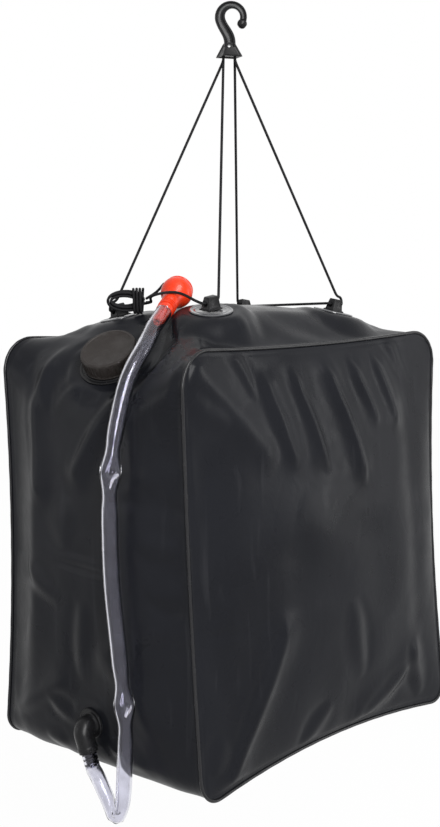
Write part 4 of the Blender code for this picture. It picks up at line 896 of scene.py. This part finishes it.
def edge_spacing(count, near, pitch):
    """Shares from -1 to 1 with lines set close beside both ends."""
    close = [pitch * step for step in range(near)]
    middle = np.linspace(close[-1] + pitch, 2.0 - close[-1] - pitch, count - 2 * near)
    return np.concatenate([close, middle, [2.0 - value for value in reversed(close)]]) - 1.0


# Holes in the wrap under the filler and the outlet: frame and radius
OPENINGS = ((FILLER_FRAME, 0.0225), (OUTLET_FRAME, 0.0090))


def weld_line(edge):
    """Depth of the line pressed into the film beside its seam."""
    return 0.0003 * bell(edge, 0.0055, 0.0014)


def finished_film(item, node_name):
    """Closes a sheet, turns its faces away from the bag's middle, thickens it and puts it in place."""
    close_up()
    middle = Vector((0.0, 0.0, BASE_Z + BAG_HEIGHT / 2))
    if sum((face.center - middle).dot(face.normal) * face.area for face in item.data.polygons) < 0.0:
        item.data.flip_normals()
    smooth(item, 60.0)
    modify(item, "SOLIDIFY", thickness=FILM, offset=-1.0)
    settle(item, BLACK_FILM, "bag", node_name)


def puckers(points):
    """Height of the film's swells round the flanges of the filler and the outlet."""
    local, away = seen_from(FILLER_FRAME, points)
    turn = np.arctan2(local[..., 1], local[..., 0])
    swell = bell(away - FLANGE_RADIUS, 0.0085, 0.0032) * (0.6 + 0.4 * np.sin(turn * 5.0 + 0.8))
    swell -= 0.7 * bell(away - FLANGE_RADIUS, 0.0155, 0.0036) * (0.6 + 0.4 * np.sin(turn * 7.0))
    lift = np.where(np.abs(local[..., 2]) < 0.04, 0.0022 * swell, 0.0)
    local, away = seen_from(OUTLET_FRAME, points)
    swell = bell(away - OUTLET_FLANGE_RADIUS, 0.0075, 0.003)
    return lift + np.where(np.abs(local[..., 2]) < 0.03, 0.0012 * swell, 0.0)


def gusset_film():
    """The strip that wraps the left side, the top, the right side and the base, with its folds."""
    shares = edge_spacing(count=84, near=5, pitch=0.016)
    top_radius = SEAM_TOP_RADIUS + (SHOULDER_RADIUS - SEAM_TOP_RADIUS) * (1.0 - shares ** 2)
    flat_x, flat_z, way_x, way_z = round_outline(top_radius)
    seam_x, seam_z = round_outline(SEAM_TOP_RADIUS)[:2]
    front = seam_y(seam_x, seam_z, -1) + INSET
    rear = seam_y(seam_x, seam_z, 1) - INSET
    share = (shares[:, None] + 1.0) / 2
    y = front + (rear - front) * share
    edge = np.minimum(y - front, rear - y)
    nearest = np.where(shares[:, None] < 0.0, np.abs(front), np.abs(rear))
    x, z = bowed(flat_x, flat_z, 1.0 - ease(edge / 0.052))
    deep = ease(edge / (nearest - LUG_Y))
    z = z + np.where(flat_z > BAG_HEIGHT / 2, tent(flat_x, y, deep), 0.0)
    points = seated(np.stack([x, y, BASE_Z + z], axis=2))
    outward = normals_of(points)
    outward *= np.sign(np.sum(outward * np.stack([way_x, 0.0 * way_x, way_z], axis=2), axis=2))[..., None]
    x, y, high = points[..., 0], points[..., 1], points[..., 2] - BASE_Z
    upright = np.abs(way_z) < 0.999
    sides_from, top_from, base_to, fade, base_fade = 0.110, 0.350, 0.030, 0.030, 0.020
    lift = ease((-x - sides_from) / fade) * upright * all_folds(LEFT_FOLDS, LEFT_CREASES, y, high)
    lift += ease((x - sides_from) / fade) * upright * all_folds(RIGHT_FOLDS, RIGHT_CREASES, y, high)
    lift += ease((high - top_from) / fade) * all_folds(TOP_FOLDS, TOP_CREASES, x, y)
    lift += ease((base_to - high) / base_fade) * all_folds((), BASE_CREASES, x, y)
    lift += waves(points, seed=5, lengths=(0.034, 0.041, 0.052, 0.066, 0.083, 0.110), height=0.0004)
    lift += puckers(points)
    lift *= free_film(points) * ease(edge / 0.013)
    lift -= weld_line(edge)
    points = points + outward * lift[..., None]
    points[:, -1] = points[:, 0]
    item = film_grid("gusset_film", points)
    for matrix, reach in OPENINGS:
        back = matrix.inverted()

        def within(face):
            """Whether a face of the grid lies in the hole."""
            spot = back @ face.calc_center_median()
            return abs(spot.z) < 0.004 and math.hypot(spot.x, spot.y) < reach

        pick(item, "faces", within)
        bpy.ops.mesh.delete(type="FACE")
    finished_film(item, "gusset_wrap")


def panel_film(name, side, folds, creases, seed):
    """A front or rear sheet, crowned between its seams, with the folds that hang from its top seam."""
    across = edge_spacing(count=146, near=6, pitch=0.0075)
    down = edge_spacing(count=152, near=6, pitch=0.0075)
    seam_x, seam_z, way_x, way_z = [part[0] for part in round_outline(SEAM_TOP_RADIUS)]
    seam_x = seam_x - way_x * INSET
    seam_z = seam_z - way_z * INSET
    along = np.concatenate([[0.0], np.cumsum(np.hypot(np.diff(seam_x), np.diff(seam_z)))])
    ends = np.cumsum([0, *RUN_CUTS])
    corner = [along[ends[number] + RUN_CUTS[number] // 2] for number in (1, 3, 5, 7)]
    total = along[-1]

    def edge_line(start, end, shares):
        """Points of the seam between two corners."""
        where = np.mod(start + (end - start) * (shares + 1.0) / 2, total)
        return np.stack([np.interp(where, along, seam_x), np.interp(where, along, seam_z)], axis=1)

    left = edge_line(corner[0], corner[1], down)
    top = edge_line(corner[1], corner[2], across)
    right = edge_line(corner[3], corner[2], down)
    bottom = edge_line(corner[0] + total, corner[3], across)
    u = ((across + 1.0) / 2)[None, :, None]
    v = ((down + 1.0) / 2)[:, None, None]
    edges = (1 - v) * bottom[None] + v * top[None] + (1 - u) * left[:, None] + u * right[:, None]
    corners = ((1 - u) * (1 - v) * bottom[0] + u * (1 - v) * bottom[-1]
               + (1 - u) * v * top[0] + u * v * top[-1])
    flat_x, flat_z = np.moveaxis(edges - corners, 2, 0)
    rise = ((1.0 - across[None, :] ** 2) * (1.0 - down[:, None] ** 2)) ** 0.75
    edge = np.minimum(np.minimum(1.0 + across, 1.0 - across)[None, :] * BAG_WIDTH / 2,
                      np.minimum(1.0 + down, 1.0 - down)[:, None] * BAG_HEIGHT / 2)
    level = side * BAG_DEPTH / 2 + leaning(flat_z, side)
    draw = level - seam_y(flat_x, flat_z, side)
    y = level - draw * (1.0 - rise) ** 1.5 + side * PANEL_CROWN * rise
    x, z = bowed(flat_x, flat_z, 1.0)
    points = np.stack([x, y, BASE_Z + z], axis=2)
    lift = all_folds(folds, creases, x if side < 0 else -x, z)
    lift += waves(points, seed, lengths=(0.036, 0.044, 0.057, 0.070, 0.090, 0.120), height=0.0004)
    lift *= ease(edge / 0.014)
    lift -= weld_line(edge)
    outward = normals_of(points)
    outward *= np.sign(outward[..., 1] * side)[..., None]
    points = points + outward * lift[..., None]
    finished_film(film_grid(name + "_film", points), name + "_panel")


def seam_beads():
    """The welded bead along each seam."""
    flat_x, flat_z = [part[0][:-1] for part in round_outline(SEAM_TOP_RADIUS)[:2]]
    x, z = bowed(flat_x, flat_z, 1.0)
    radii = BEAD_RADIUS * (1.0 + 0.05 * np.sin(np.arange(len(x)) * 0.9))
    for name, side in (("front", -1), ("rear", 1)):
        line = np.stack([x, seam_y(flat_x, flat_z, side), BASE_Z + z], axis=1)
        bead = swept(name + "_seam_bead", line, radii, sides=12, first=(0.0, 1.0, 0.0), closed=True)
        settle(bead, BLACK_WELD, "bag", name + "_piping")


gusset_film()
panel_film("front", -1, FRONT_FOLDS, FRONT_CREASES, seed=11)
panel_film("rear", 1, REAR_FOLDS, REAR_CREASES, seed=17)
seam_beads()


# Lugs

def from_rim(rim, steps):
    """Profile points whose radii are given as distances in from a rim."""
    return [(rim - inward, height) for inward, height in steps]


def lug_patch(name):
    """A round welded patch with a raised rim and a pressed ring."""
    rim = from_rim(PATCH_RADIUS, [
        (0.0002, GAP), (0.0, GAP + 0.0002), (0.0, 0.0012), (0.0005, 0.0016), (0.0017, 0.0016),
        (0.0023, 0.0011), (0.0052, 0.0010), (0.0057, 0.0013), (0.0063, 0.0010)])
    item = turned("patch_" + name, [(0.0, GAP), *rim, (0.0, 0.0010)], sides=72)
    smooth(item, 40.0)
    settle(item, CLEAR_PATCH, "bag", "lug_patch_" + name, place=LUG_FRAMES[name])


def lug_loop():
    """A moulded loop: a foot, a tapered body with sunk faces and rounded edges, and its tunnel."""
    seat = 0.0016
    centre = (0.0, 0.0, seat + 0.0007)
    foot = begin("lug_body", bpy.ops.mesh.primitive_cube_add, size=1.0, location=centre)
    bpy.ops.mesh.select_all(action="SELECT")
    bpy.ops.transform.resize(value=(0.0186, 0.0128, 0.0014), center_override=centre)
    pick(foot, "faces", lambda face: face.normal.z > 0.9)
    bpy.ops.mesh.inset(thickness=0.0012)
    for rise, narrower in ((0.0058, (0.88, 0.85, 1.0)), (0.0053, (0.84, 0.80, 1.0))):
        bpy.ops.mesh.extrude_region_move(TRANSFORM_OT_translate={"value": (0.0, 0.0, rise)})
        bpy.ops.transform.resize(value=narrower, center_override=(0.0, 0.0, 0.0))
    pick(foot, "faces", lambda face: abs(face.normal.y) > 0.8 and face.calc_area() > 0.00005)
    bpy.ops.mesh.inset(thickness=0.0016, depth=-0.0007, use_individual=False)
    close_up()
    modify(foot, "BEVEL", width=0.0007, segments=3, limit_method="ANGLE", angle_limit=math.radians(28.0))
    tunnel = begin("lug_tunnel", bpy.ops.mesh.primitive_cylinder_add, vertices=28, radius=0.0026, depth=0.05,
                   location=(0.0, 0.0, seat + 0.0060), rotation=(0.0, math.pi / 2, 0.0))
    bpy.ops.object.mode_set(mode="OBJECT")
    carve(foot, tunnel)
    smooth(foot, 35.0)
    return foot


first_loop = lug_loop()
for corner_name in LUG_FRAMES:
    lug_patch(corner_name)
    loop_copy = first_loop.copy()
    loop_copy.data = first_loop.data.copy()
    loop_copy.name = "loop_" + corner_name
    bpy.context.scene.collection.objects.link(loop_copy)
    settle(loop_copy, BLACK_PLASTIC, "bag", "lug_loop_" + corner_name, place=LUG_FRAMES[corner_name])
bpy.data.objects.remove(first_loop, do_unlink=True)


# Filler

def filler_neck():
    """The welded flange with its neck and thread."""
    face, rim, wall, bore = 0.0019, 0.0134, 0.0226, 0.0196
    flange = from_rim(FLANGE_RADIUS, [
        (0.0002, GAP), (0.0, GAP + 0.0003), (0.0, 0.0014), (0.0006, face), (0.0020, face), (0.0024, 0.0015),
        (0.0034, 0.0015), (0.0038, face)])
    profile = [(bore, GAP), *flange, (0.0232, face), (wall, face + 0.0006), (wall, rim - 0.0004),
               (0.0222, rim), (0.0200, rim), (bore, rim - 0.0004)]
    neck = turned("neck_moulding", profile, sides=96, ring=True)
    smooth(neck)
    turns = np.linspace(0.0, 1.5, 61)
    angle = 2 * math.pi * turns
    helix = np.stack([wall * np.cos(angle), wall * np.sin(angle), face + 0.0027 + 0.005 * turns], axis=1)
    swell = 0.0009 * np.minimum(1.0, np.minimum(turns, 1.5 - turns) * 8.0 + 0.3)
    neck = joined(neck, swept("neck_thread", helix, swell, sides=10))
    settle(neck, BLACK_PLASTIC, "bag", "filler_neck", place=FILLER_FRAME)


def filler_cap():
    """The ribbed screw cap."""
    low, top, outer, inner, ceiling = 0.0022, 0.0174, 0.0262, 0.0241, 0.0154
    sides = 144
    profile = [(0.0, top - 0.0006), (outer - 0.0034, top - 0.0006), (outer - 0.0030, top - 0.0004),
               (outer - 0.0026, top), (outer - 0.0012, top), (outer - 0.0005, top - 0.0003),
               (outer - 0.0001, top - 0.0010), (outer, top - 0.0022), (outer, low + 0.0016),
               (outer + 0.0005, low + 0.0011), (outer + 0.0005, low + 0.0003), (outer + 0.0002, low),
               (inner, low), (inner, ceiling), (0.0, ceiling)]
    cap = turned("cap_moulding", profile, sides)
    select(cap)
    bpy.ops.object.mode_set(mode="EDIT")

    def rib_face(face):
        """Every third face of the outer wall."""
        middle = face.calc_center_median()
        column = int(round((math.atan2(middle.y, middle.x) / (2 * math.pi)) * sides - 0.5)) % 3
        tall = abs(middle.z - (top - 0.0022 + low + 0.0016) / 2) < 0.0005
        return tall and column == 0 and math.hypot(middle.x, middle.y) > outer - 0.0004

    pick(cap, "faces", rib_face)
    bpy.ops.mesh.inset(thickness=0.00012, depth=0.0006, use_individual=True)
    close_up()
    smooth(cap, 30.0)
    settle(cap, CAP_PLASTIC, "cap", "filler_cap", place=FILLER_FRAME)


filler_neck()
filler_cap()


# Outlet

def barbs(tip, root, radius, crest, count):
    """Outer side of a hose barb from its root up to its tip, as (radius, height)."""
    length = (tip - root) / count
    points = []
    for number in range(count):
        low = root + length * number
        points += [(radius, low), (crest - 0.0001, low + length * 0.12), (crest, low + length * 0.2),
                   (radius, low + length * 0.98)]
    return points


def outlet():
    """Welded flange, bent elbow with its collar, and the barb inside the hose."""
    rim = from_rim(OUTLET_FLANGE_RADIUS, [
        (0.0003, GAP), (0.0, GAP + 0.0003), (0.0003, 0.0020), (0.0009, 0.0026), (0.0019, 0.0026),
        (0.0024, 0.0021)])
    profile = [(0.0, -0.0130), (0.0062, -0.0130), (0.0068, -0.0124), (0.0068, GAP), *rim, (0.0106, 0.0021),
               (0.0098, 0.0027), (0.0093, 0.0042), (0.0, 0.0042)]
    flange = turned("elbow_moulding", profile, sides=72)
    stand, drop, bend = 0.0125, 0.0240, 0.0068
    turn = np.linspace(0.0, math.pi / 2, 13)
    run = (0.0100, 0.0130, 0.0160, 0.0178, 0.0182, 0.0186, 0.0206, 0.0210, 0.0214, 0.0236, 0.0240)
    collar = [0.0092, 0.0091, 0.0090, 0.0090, 0.0094, 0.0095, 0.0095, 0.0094, 0.0090, 0.0088, 0.0080]
    line = [(0.0, 0.0, 0.0010), (0.0, 0.0, 0.0035)]
    line += [(bend - bend * math.cos(a), 0.0, stand - bend + bend * math.sin(a)) for a in turn]
    radii = [0.0092] * len(line) + collar
    line += [(value, 0.0, stand) for value in run]
    pipe = swept("elbow_pipe", line, radii, sides=40, first=(0.0, 1.0, 0.0))
    profile = [(0.0030, 0.0200),
               *barbs(tip=drop + 0.0140, root=drop - 0.0004, radius=0.0047, crest=0.0058, count=3),
               (0.0034, drop + 0.0142), (0.0030, drop + 0.0138)]
    spout = turned("elbow_barb", profile, sides=40, ring=True)
    spout.matrix_world = OUTLET_FRAME.inverted() @ SPIGOT_FRAME
    elbow = joined(flange, pipe, spout)
    smooth(elbow, 30.0)
    settle(elbow, BLACK_PLASTIC, "bag", "outlet_elbow", place=OUTLET_FRAME)


outlet()


# Shower head

def head_stem():
    """The stem with its groove, its collar and its barb."""
    groove = 0.0135
    profile = [(0.0, 0.0243), (0.0035, 0.0243), (0.0038, 0.0240), (0.0038, 0.0203), (0.0046, 0.0200),
               (0.0046, groove + 0.001), (0.0039, groove + 0.001), (0.0039, groove - 0.001),
               (0.0046, groove - 0.001), (0.0046, 0.0035), (0.0075, 0.0035), (0.0080, 0.0031),
               (0.0081, 0.0018), (0.0080, 0.0005), (0.0076, 0.0), (0.0048, 0.0),
               *barbs(tip=-0.0200, root=-0.0009, radius=0.0041, crest=0.0058, count=5),
               (0.0034, -0.0203), (0.0020, -0.0200), (0.0020, 0.0170), (0.0, 0.0170)]
    stem = turned("stem_moulding", profile, sides=48)
    smooth(stem, 30.0)
    settle(stem, HEAD_PLASTIC, "bag", "head_stem", place=HEAD_FRAME)


def round_profile(radius, middle, start, end, count):
    """Profile points on a ball's outline between two angles in degrees."""
    angles = np.radians(np.linspace(start, end, count))
    return [(radius * math.cos(a), middle + radius * math.sin(a)) for a in angles]


def spray_dome():
    """The dome with its ringed sleeve."""
    low, middle, radius = 0.0038, 0.0380, 0.0151
    face = middle + radius * 0.62
    outer = round_profile(radius, middle, start=30.0, end=-43.0, count=20)
    inside = round_profile(0.0135, middle, start=-66.0, end=32.0, count=14)
    neck = [(0.0097, middle - 0.0130), (0.0089, middle - 0.0155), (0.0083, middle - 0.0190), (0.0079, 0.0150)]
    rings = []
    for height in (0.0122, 0.0098, 0.0074):
        rings += [(0.0067, height + 0.0011), (0.0084, height + 0.0005), (0.0084, height - 0.0005),
                  (0.0067, height - 0.0011)]
    lip = [(0.0106, face - 0.0002), (0.0110, face), (0.0124, face), (0.0133, face - 0.0004),
           (0.0137, face - 0.0014)]
    profile = [*lip, *outer, *neck, *rings, (0.0076, 0.0056), (0.0078, 0.0042), (0.0075, low), (0.0052, low),
               (0.0052, 0.0199), (0.0041, 0.0203), *inside, (0.0106, face - 0.0019)]
    dome = turned("dome_moulding", profile, sides=72, ring=True)
    smooth(dome, 34.0)
    settle(dome, HEAD_PLASTIC, "spray_head", "spray_dome", place=HEAD_FRAME)


head_stem()
spray_dome()


# Hook

def hook_bar():
    """The bow with sunk flats, its shank, and the ball at its tip."""
    bow, thin, stout, thick = 0.0115, 0.0068, 0.0102, 0.0114
    start, end = math.radians(-28.0), math.radians(200.0)
    centre = thin / 2 - bow
    line, radii = [], []
    for share in np.linspace(0.0, 1.0, 41):
        angle = start + (end - start) * share
        line.append(np.array((bow * math.cos(angle), 0.0, centre + bow * math.sin(angle))))
        radii.append((thin + (stout - thin) * ease(share * 1.6 - 0.6)) / 2)
    p0, p3 = line[-1], np.array((-0.0018, 0.0, -0.0330))
    p1 = p0 + np.array((-math.sin(end), 0.0, math.cos(end))) * bow * 0.75
    p2 = p3 + np.array((0.0, 0.0, bow * 0.75))
    for t in np.linspace(0.0, 1.0, 25)[1:]:
        rest = 1.0 - t
        line.append(p0 * rest ** 3 + 3 * p1 * rest ** 2 * t + 3 * p2 * rest * t ** 2 + p3 * t ** 3)
        radii.append((stout + (thick - stout) * ease(t)) / 2)
    line.append(p3 - np.array((0.0, 0.0, 0.0034)))
    radii.append(thick / 2)
    quarter = [(0.98, 0.30), (0.92, 0.56), (0.82, 0.74), (0.68, 0.80), (0.57, 0.72), (0.48, 0.40),
               (0.24, 0.32)]
    mirrored = [(-across, deep) for across, deep in reversed(quarter)]
    section = [(1.00, 0.00), *quarter, (0.00, 0.30), *mirrored]
    section += [(-across, -deep) for across, deep in section]
    bar = swept("hook_moulding", line, radii, sides=32, first=(1.0, 0.0, 0.0), section=section)
    tip = line[0]
    ball = begin("hook_tip", bpy.ops.mesh.primitive_uv_sphere_add, segments=36, ring_count=20, radius=0.0048,
                 location=tuple(tip + np.array((0.0, 0.0, -0.0011))))
    pick(ball, "verts",
         lambda point: (point.co - Vector(tip)).length > 0.0035 and point.co.z < tip[2] - 0.0030)
    bpy.ops.transform.resize(value=(0.92, 0.92, 1.0), center_override=tuple(tip))
    close_up()
    return bar, ball


def hook():
    """The bow on its four-sided foot with sunk faces, whose two channels the cord turns over."""
    bar, ball = hook_bar()
    foot_x, channel, bend = -0.0025, 0.0022, 0.0056
    foot = begin("hook_foot", bpy.ops.mesh.primitive_cone_add, vertices=4, radius1=0.0150, radius2=0.0066,
                 depth=0.0135, location=(foot_x, 0.0, -0.03975), rotation=(0.0, 0.0, math.radians(65.0)))
    pick(foot, "faces", lambda face: abs(face.normal.z) < 0.7)
    bpy.ops.mesh.inset(thickness=0.0021, depth=-0.0013, use_individual=True)
    pick(foot, "faces", lambda face: face.normal.z < -0.9)
    bpy.ops.mesh.inset(thickness=0.0016, depth=0.0)
    bpy.ops.mesh.inset(thickness=0.0006, depth=-0.0012)
    close_up()
    modify(foot, "BEVEL", width=0.0006, segments=3, limit_method="ANGLE", angle_limit=math.radians(25.0))
    for y in (-channel, channel):
        arc = [(foot_x + bend * math.cos(a), y, -0.0440 + bend * math.sin(a))
               for a in np.linspace(math.pi, 0.0, 17)]
        arc = [(foot_x - bend, y, -0.0505), *arc, (foot_x + bend, y, -0.0505)]
        carve(foot, swept("saddle_channel", arc, CORD_RADIUS + GAP, sides=12, first=(0.0, 1.0, 0.0)))
    eye = begin("hook_eye", bpy.ops.mesh.primitive_cylinder_add, vertices=24, radius=0.0015, depth=0.04,
                location=(foot_x, 0.0, -0.0362), rotation=(math.pi / 2, 0.0, 0.0))
    bpy.ops.object.mode_set(mode="OBJECT")
    carve(foot, bar, "UNION")
    carve(foot, eye)
    item = joined(foot, ball)
    smooth(item, 38.0)
    settle(item, BLACK_PLASTIC, "bag", "hanger_hook", place=HOOK_FRAME)


hook()


# Hose

def hose_shells(line, sides):
    """The outer and inner skins of the hose, flattened at its two kinks and at its low fold."""
    steps = distance_along(line)
    high = line[:, 2] - BASE_Z
    wide, deep, pressed, dented = np.ones((4, len(line)))
    kinks = []
    for height, after, spread, out, flat in ((-0.0180, 0.0, 0.0070, 0.20, 0.30),
                                             (0.084, 0.08, 0.0090, 0.26, 0.40),
                                             (0.292, 0.08, 0.0090, 0.26, 0.40)):
        place = steps[np.argmin(np.where(steps > after, np.abs(high - height), 9.0))]
        kinks.append(place)
        wide += out * bell(steps, place, spread)
        deep -= flat * bell(steps, place, spread)
    pressed -= 0.82 * bell(steps, kinks[0], 0.011)
    for place in kinks[1:]:
        beside = bell(np.abs(steps - place), 0.021, 0.009)
        wide -= 0.12 * beside
        deep -= 0.08 * beside
        dented -= 0.75 * bell(steps, place, 0.0030)
    wide *= 1.0 - 0.10 * bell(np.maximum(steps - kinks[0], 0.0), 0.0, 0.06)
    flat_way = (0.7375, 0.6636, -0.1262)
    ahead = np.gradient(line, axis=0)
    ahead /= np.linalg.norm(ahead, axis=1)[:, None]
    right = np.cross(ahead, flat_way)
    right /= np.linalg.norm(right, axis=1)[:, None]
    up = np.cross(ahead, right)
    angles = np.arange(sides) * 2.0 * math.pi / sides
    cosine, sine = np.cos(angles), np.sin(angles)
    shells = []
    for wall in (0.0, HOSE_RADIUS - HOSE_BORE):
        reach = np.maximum(HOSE_RADIUS * wide - wall, 0.0004)[:, None] * cosine[None, :]
        reach = np.where(cosine > 0.0, reach * pressed[:, None], reach)
        rise = np.maximum(HOSE_RADIUS * deep - wall, 0.0004)[:, None] * sine[None, :]
        rise = np.where(sine > 0.0, rise * dented[:, None], rise)
        across = reach[..., None] * right[:, None, :]
        shells.append(line[:, None, :] + across + rise[..., None] * up[:, None, :])
    return shells


def hose():
    """The clear hose with its wall."""
    rows, sides = len(HOSE_LINE), 40
    points = np.vstack([shell.reshape(-1, 3) for shell in hose_shells(HOSE_LINE, sides)])
    inner = rows * sides
    last = inner - sides
    faces = []
    for row in range(rows - 1):
        for column in range(sides):
            turn = (column + 1) % sides
            a, b = row * sides + column, row * sides + turn
            c, d = b + sides, a + sides
            faces.append((a, b, c, d))
            faces.append((inner + a, inner + d, inner + c, inner + b))
    for column in range(sides):
        turn = (column + 1) % sides
        faces.append((column, inner + column, inner + turn, turn))
        faces.append((last + column, last + turn, inner + last + turn, inner + last + column))
    item = new_piece("clear_hose_tube", points, faces)
    smooth(item, 50.0)
    return settle(item, CLEAR_HOSE, "bag", "hose")


hose_tube = hose()


# Cord

TURN_STEPS = 40
TURN_PITCH = 0.0031


def hank_line():
    """Middle line of the spare cord's loops, in and out again in two layers, in the hank's frame."""
    long_radius, short_radius = 0.0150, 0.0070
    points = []
    for step in range(4 * TURN_STEPS + 1):
        turn = step / TURN_STEPS
        angle = 2.0 * math.pi * turn
        inward = turn if turn < 2 else 4 - turn
        offset = TURN_PITCH * (1.0 - inward)
        depth = TURN_PITCH * (float(ease((turn - 2) * 2.0 + 0.5)) - 0.5)
        normal = Vector((math.cos(angle) / long_radius, math.sin(angle) / short_radius)).normalized()
        points.append((long_radius * math.cos(angle) + normal.x * offset,
                       short_radius * math.sin(angle) + normal.y * offset, depth))
    return points


def tie_line():
    """Middle line of the three turns that tie the hank, in the hank's frame."""
    points = []
    for step in range(3 * TURN_STEPS + 1):
        angle = 2.0 * math.pi * step / TURN_STEPS
        flat_y = math.copysign(math.sqrt(abs(math.cos(angle))), math.cos(angle))
        flat_z = math.copysign(math.sqrt(abs(math.sin(angle))), math.sin(angle))
        points.append((0.008 + TURN_PITCH * step / TURN_STEPS, 0.01146 * flat_y, 0.00488 * flat_z))
    return points


def in_frame(matrix, points):
    """A list of places brought out of a frame."""
    return np.array([tuple(matrix @ Vector(point)) for point in points])


def cord_piece(name, line, node_name):
    """A braided cord along a line."""
    item = swept(name, line, CORD_RADIUS, sides=14, pitch=0.0022, round_ends=True)
    return settle(item, CORD_BRAID, "bag", node_name)


HANK_LINE = in_frame(HANK_FRAME, hank_line())
TIE_LINE = in_frame(HANK_FRAME, tie_line())
hanging_cord = cord_piece("hanging_cord", CORD_LINE, "suspension_cord")
hank_loops = cord_piece("hank_loops", HANK_LINE, "cord_hank")
hank_wrap = cord_piece("hank_wrap", TIE_LINE, "hank_tie")
loose_end = cord_piece("loose_end", TAIL_LINE, "cord_tail")


# Solids whose shape already serves, with their finishes

for node_name, finish in (("cap_gasket", SEAL_RUBBER), ("outlet_washer", SEAL_RUBBER),
                          ("stem_seal", SEAL_RUBBER), ("outlet_nut", BLACK_PLASTIC),
                          ("spray_plate", HEAD_PLASTIC)):
    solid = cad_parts[node_name]
    if solid.material_slots:
        for slot in solid.material_slots:
            slot.material = finish
    else:
        solid.data.materials.append(finish)


# Floor, light and background

def seen_rays(tree):
    """1 for the rays that reach the picture straight, by a mirror's way or through the hose."""
    path = node(tree, "ShaderNodeLightPath").outputs
    bounced = calculated(tree, "MAXIMUM", path["Is Glossy Ray"], path["Is Transmission Ray"])
    return calculated(tree, "MAXIMUM", path["Is Camera Ray"], bounced)


def floor_material():
    """Pale floor that shows its shadows, on the white of the background."""
    made = bpy.data.materials.new("pale_floor")
    made.use_nodes = True
    tree = made.node_tree
    tree.nodes.clear()
    pale = node(tree, "ShaderNodeBsdfDiffuse", {"Color": (0.80, 0.80, 0.80, 1.0)})
    glow = node(tree, "ShaderNodeEmission", {"Color": (1.0, 1.0, 1.0, 1.0), "Strength": 1.0})
    share = times(tree, seen_rays(tree), 0.98)
    mix = node(tree, "ShaderNodeMixShader", {0: share, 1: pale.outputs[0], 2: glow.outputs[0]})
    tree.links.new(mix.outputs[0], node(tree, "ShaderNodeOutputMaterial").inputs["Surface"])
    return made


bpy.ops.object.select_all(action="DESELECT")
bpy.ops.mesh.primitive_plane_add(size=14.0, location=(0.0, 0.0, -1.02))
floor = bpy.context.active_object
floor.name = "pale_floor"
floor.data.materials.append(floor_material())

world = bpy.data.worlds.new("studio")
bpy.context.scene.world = world
world.use_nodes = True
tree = world.node_tree
tree.nodes.clear()
shown = node(tree, "ShaderNodeBackground", {"Color": (1.0, 1.0, 1.0, 1.0), "Strength": 1.0})
lit = node(tree, "ShaderNodeBackground", {"Color": (1.0, 1.0, 1.0, 1.0), "Strength": 0.30})
mix = node(tree, "ShaderNodeMixShader", {0: seen_rays(tree), 1: lit.outputs[0], 2: shown.outputs[0]})
tree.links.new(mix.outputs[0], node(tree, "ShaderNodeOutputWorld").inputs["Surface"])


def softbox(name, place, target, width, height, power, roll=0.0):
    """A soft rectangular lamp that faces a point, turned on its own axis."""
    data = bpy.data.lights.new(name, "AREA")
    data.shape = "RECTANGLE"
    data.size = width
    data.size_y = height
    data.energy = power
    lamp = bpy.data.objects.new(name, data)
    lamp.location = place
    aim = (Vector(target) - Vector(place)).to_track_quat("-Z", "Y")
    lamp.rotation_euler = (aim @ Quaternion((0.0, 0.0, 1.0), roll)).to_euler()
    bpy.context.scene.collection.objects.link(lamp)


softbox("key_above", (-0.5, -0.9, 1.5), (0.0, 0.0, -0.45), width=1.6, height=1.2, power=7.0)
softbox("side_left", (-1.9, 1.5, -0.2), (-0.15, 0.0, -0.45), width=0.8, height=1.3, power=4.0)
softbox("front_right", (1.7, -1.6, -0.1), (0.0, -0.1, -0.45), width=0.4, height=1.3, power=7.0)
softbox("tall_front", (-1.04, -1.60, 0.61), (-0.2, -0.05, -0.37), width=0.9, height=2.5, power=92.0,
        roll=-0.50)

bpy.context.scene.view_settings.view_transform = "Standard"
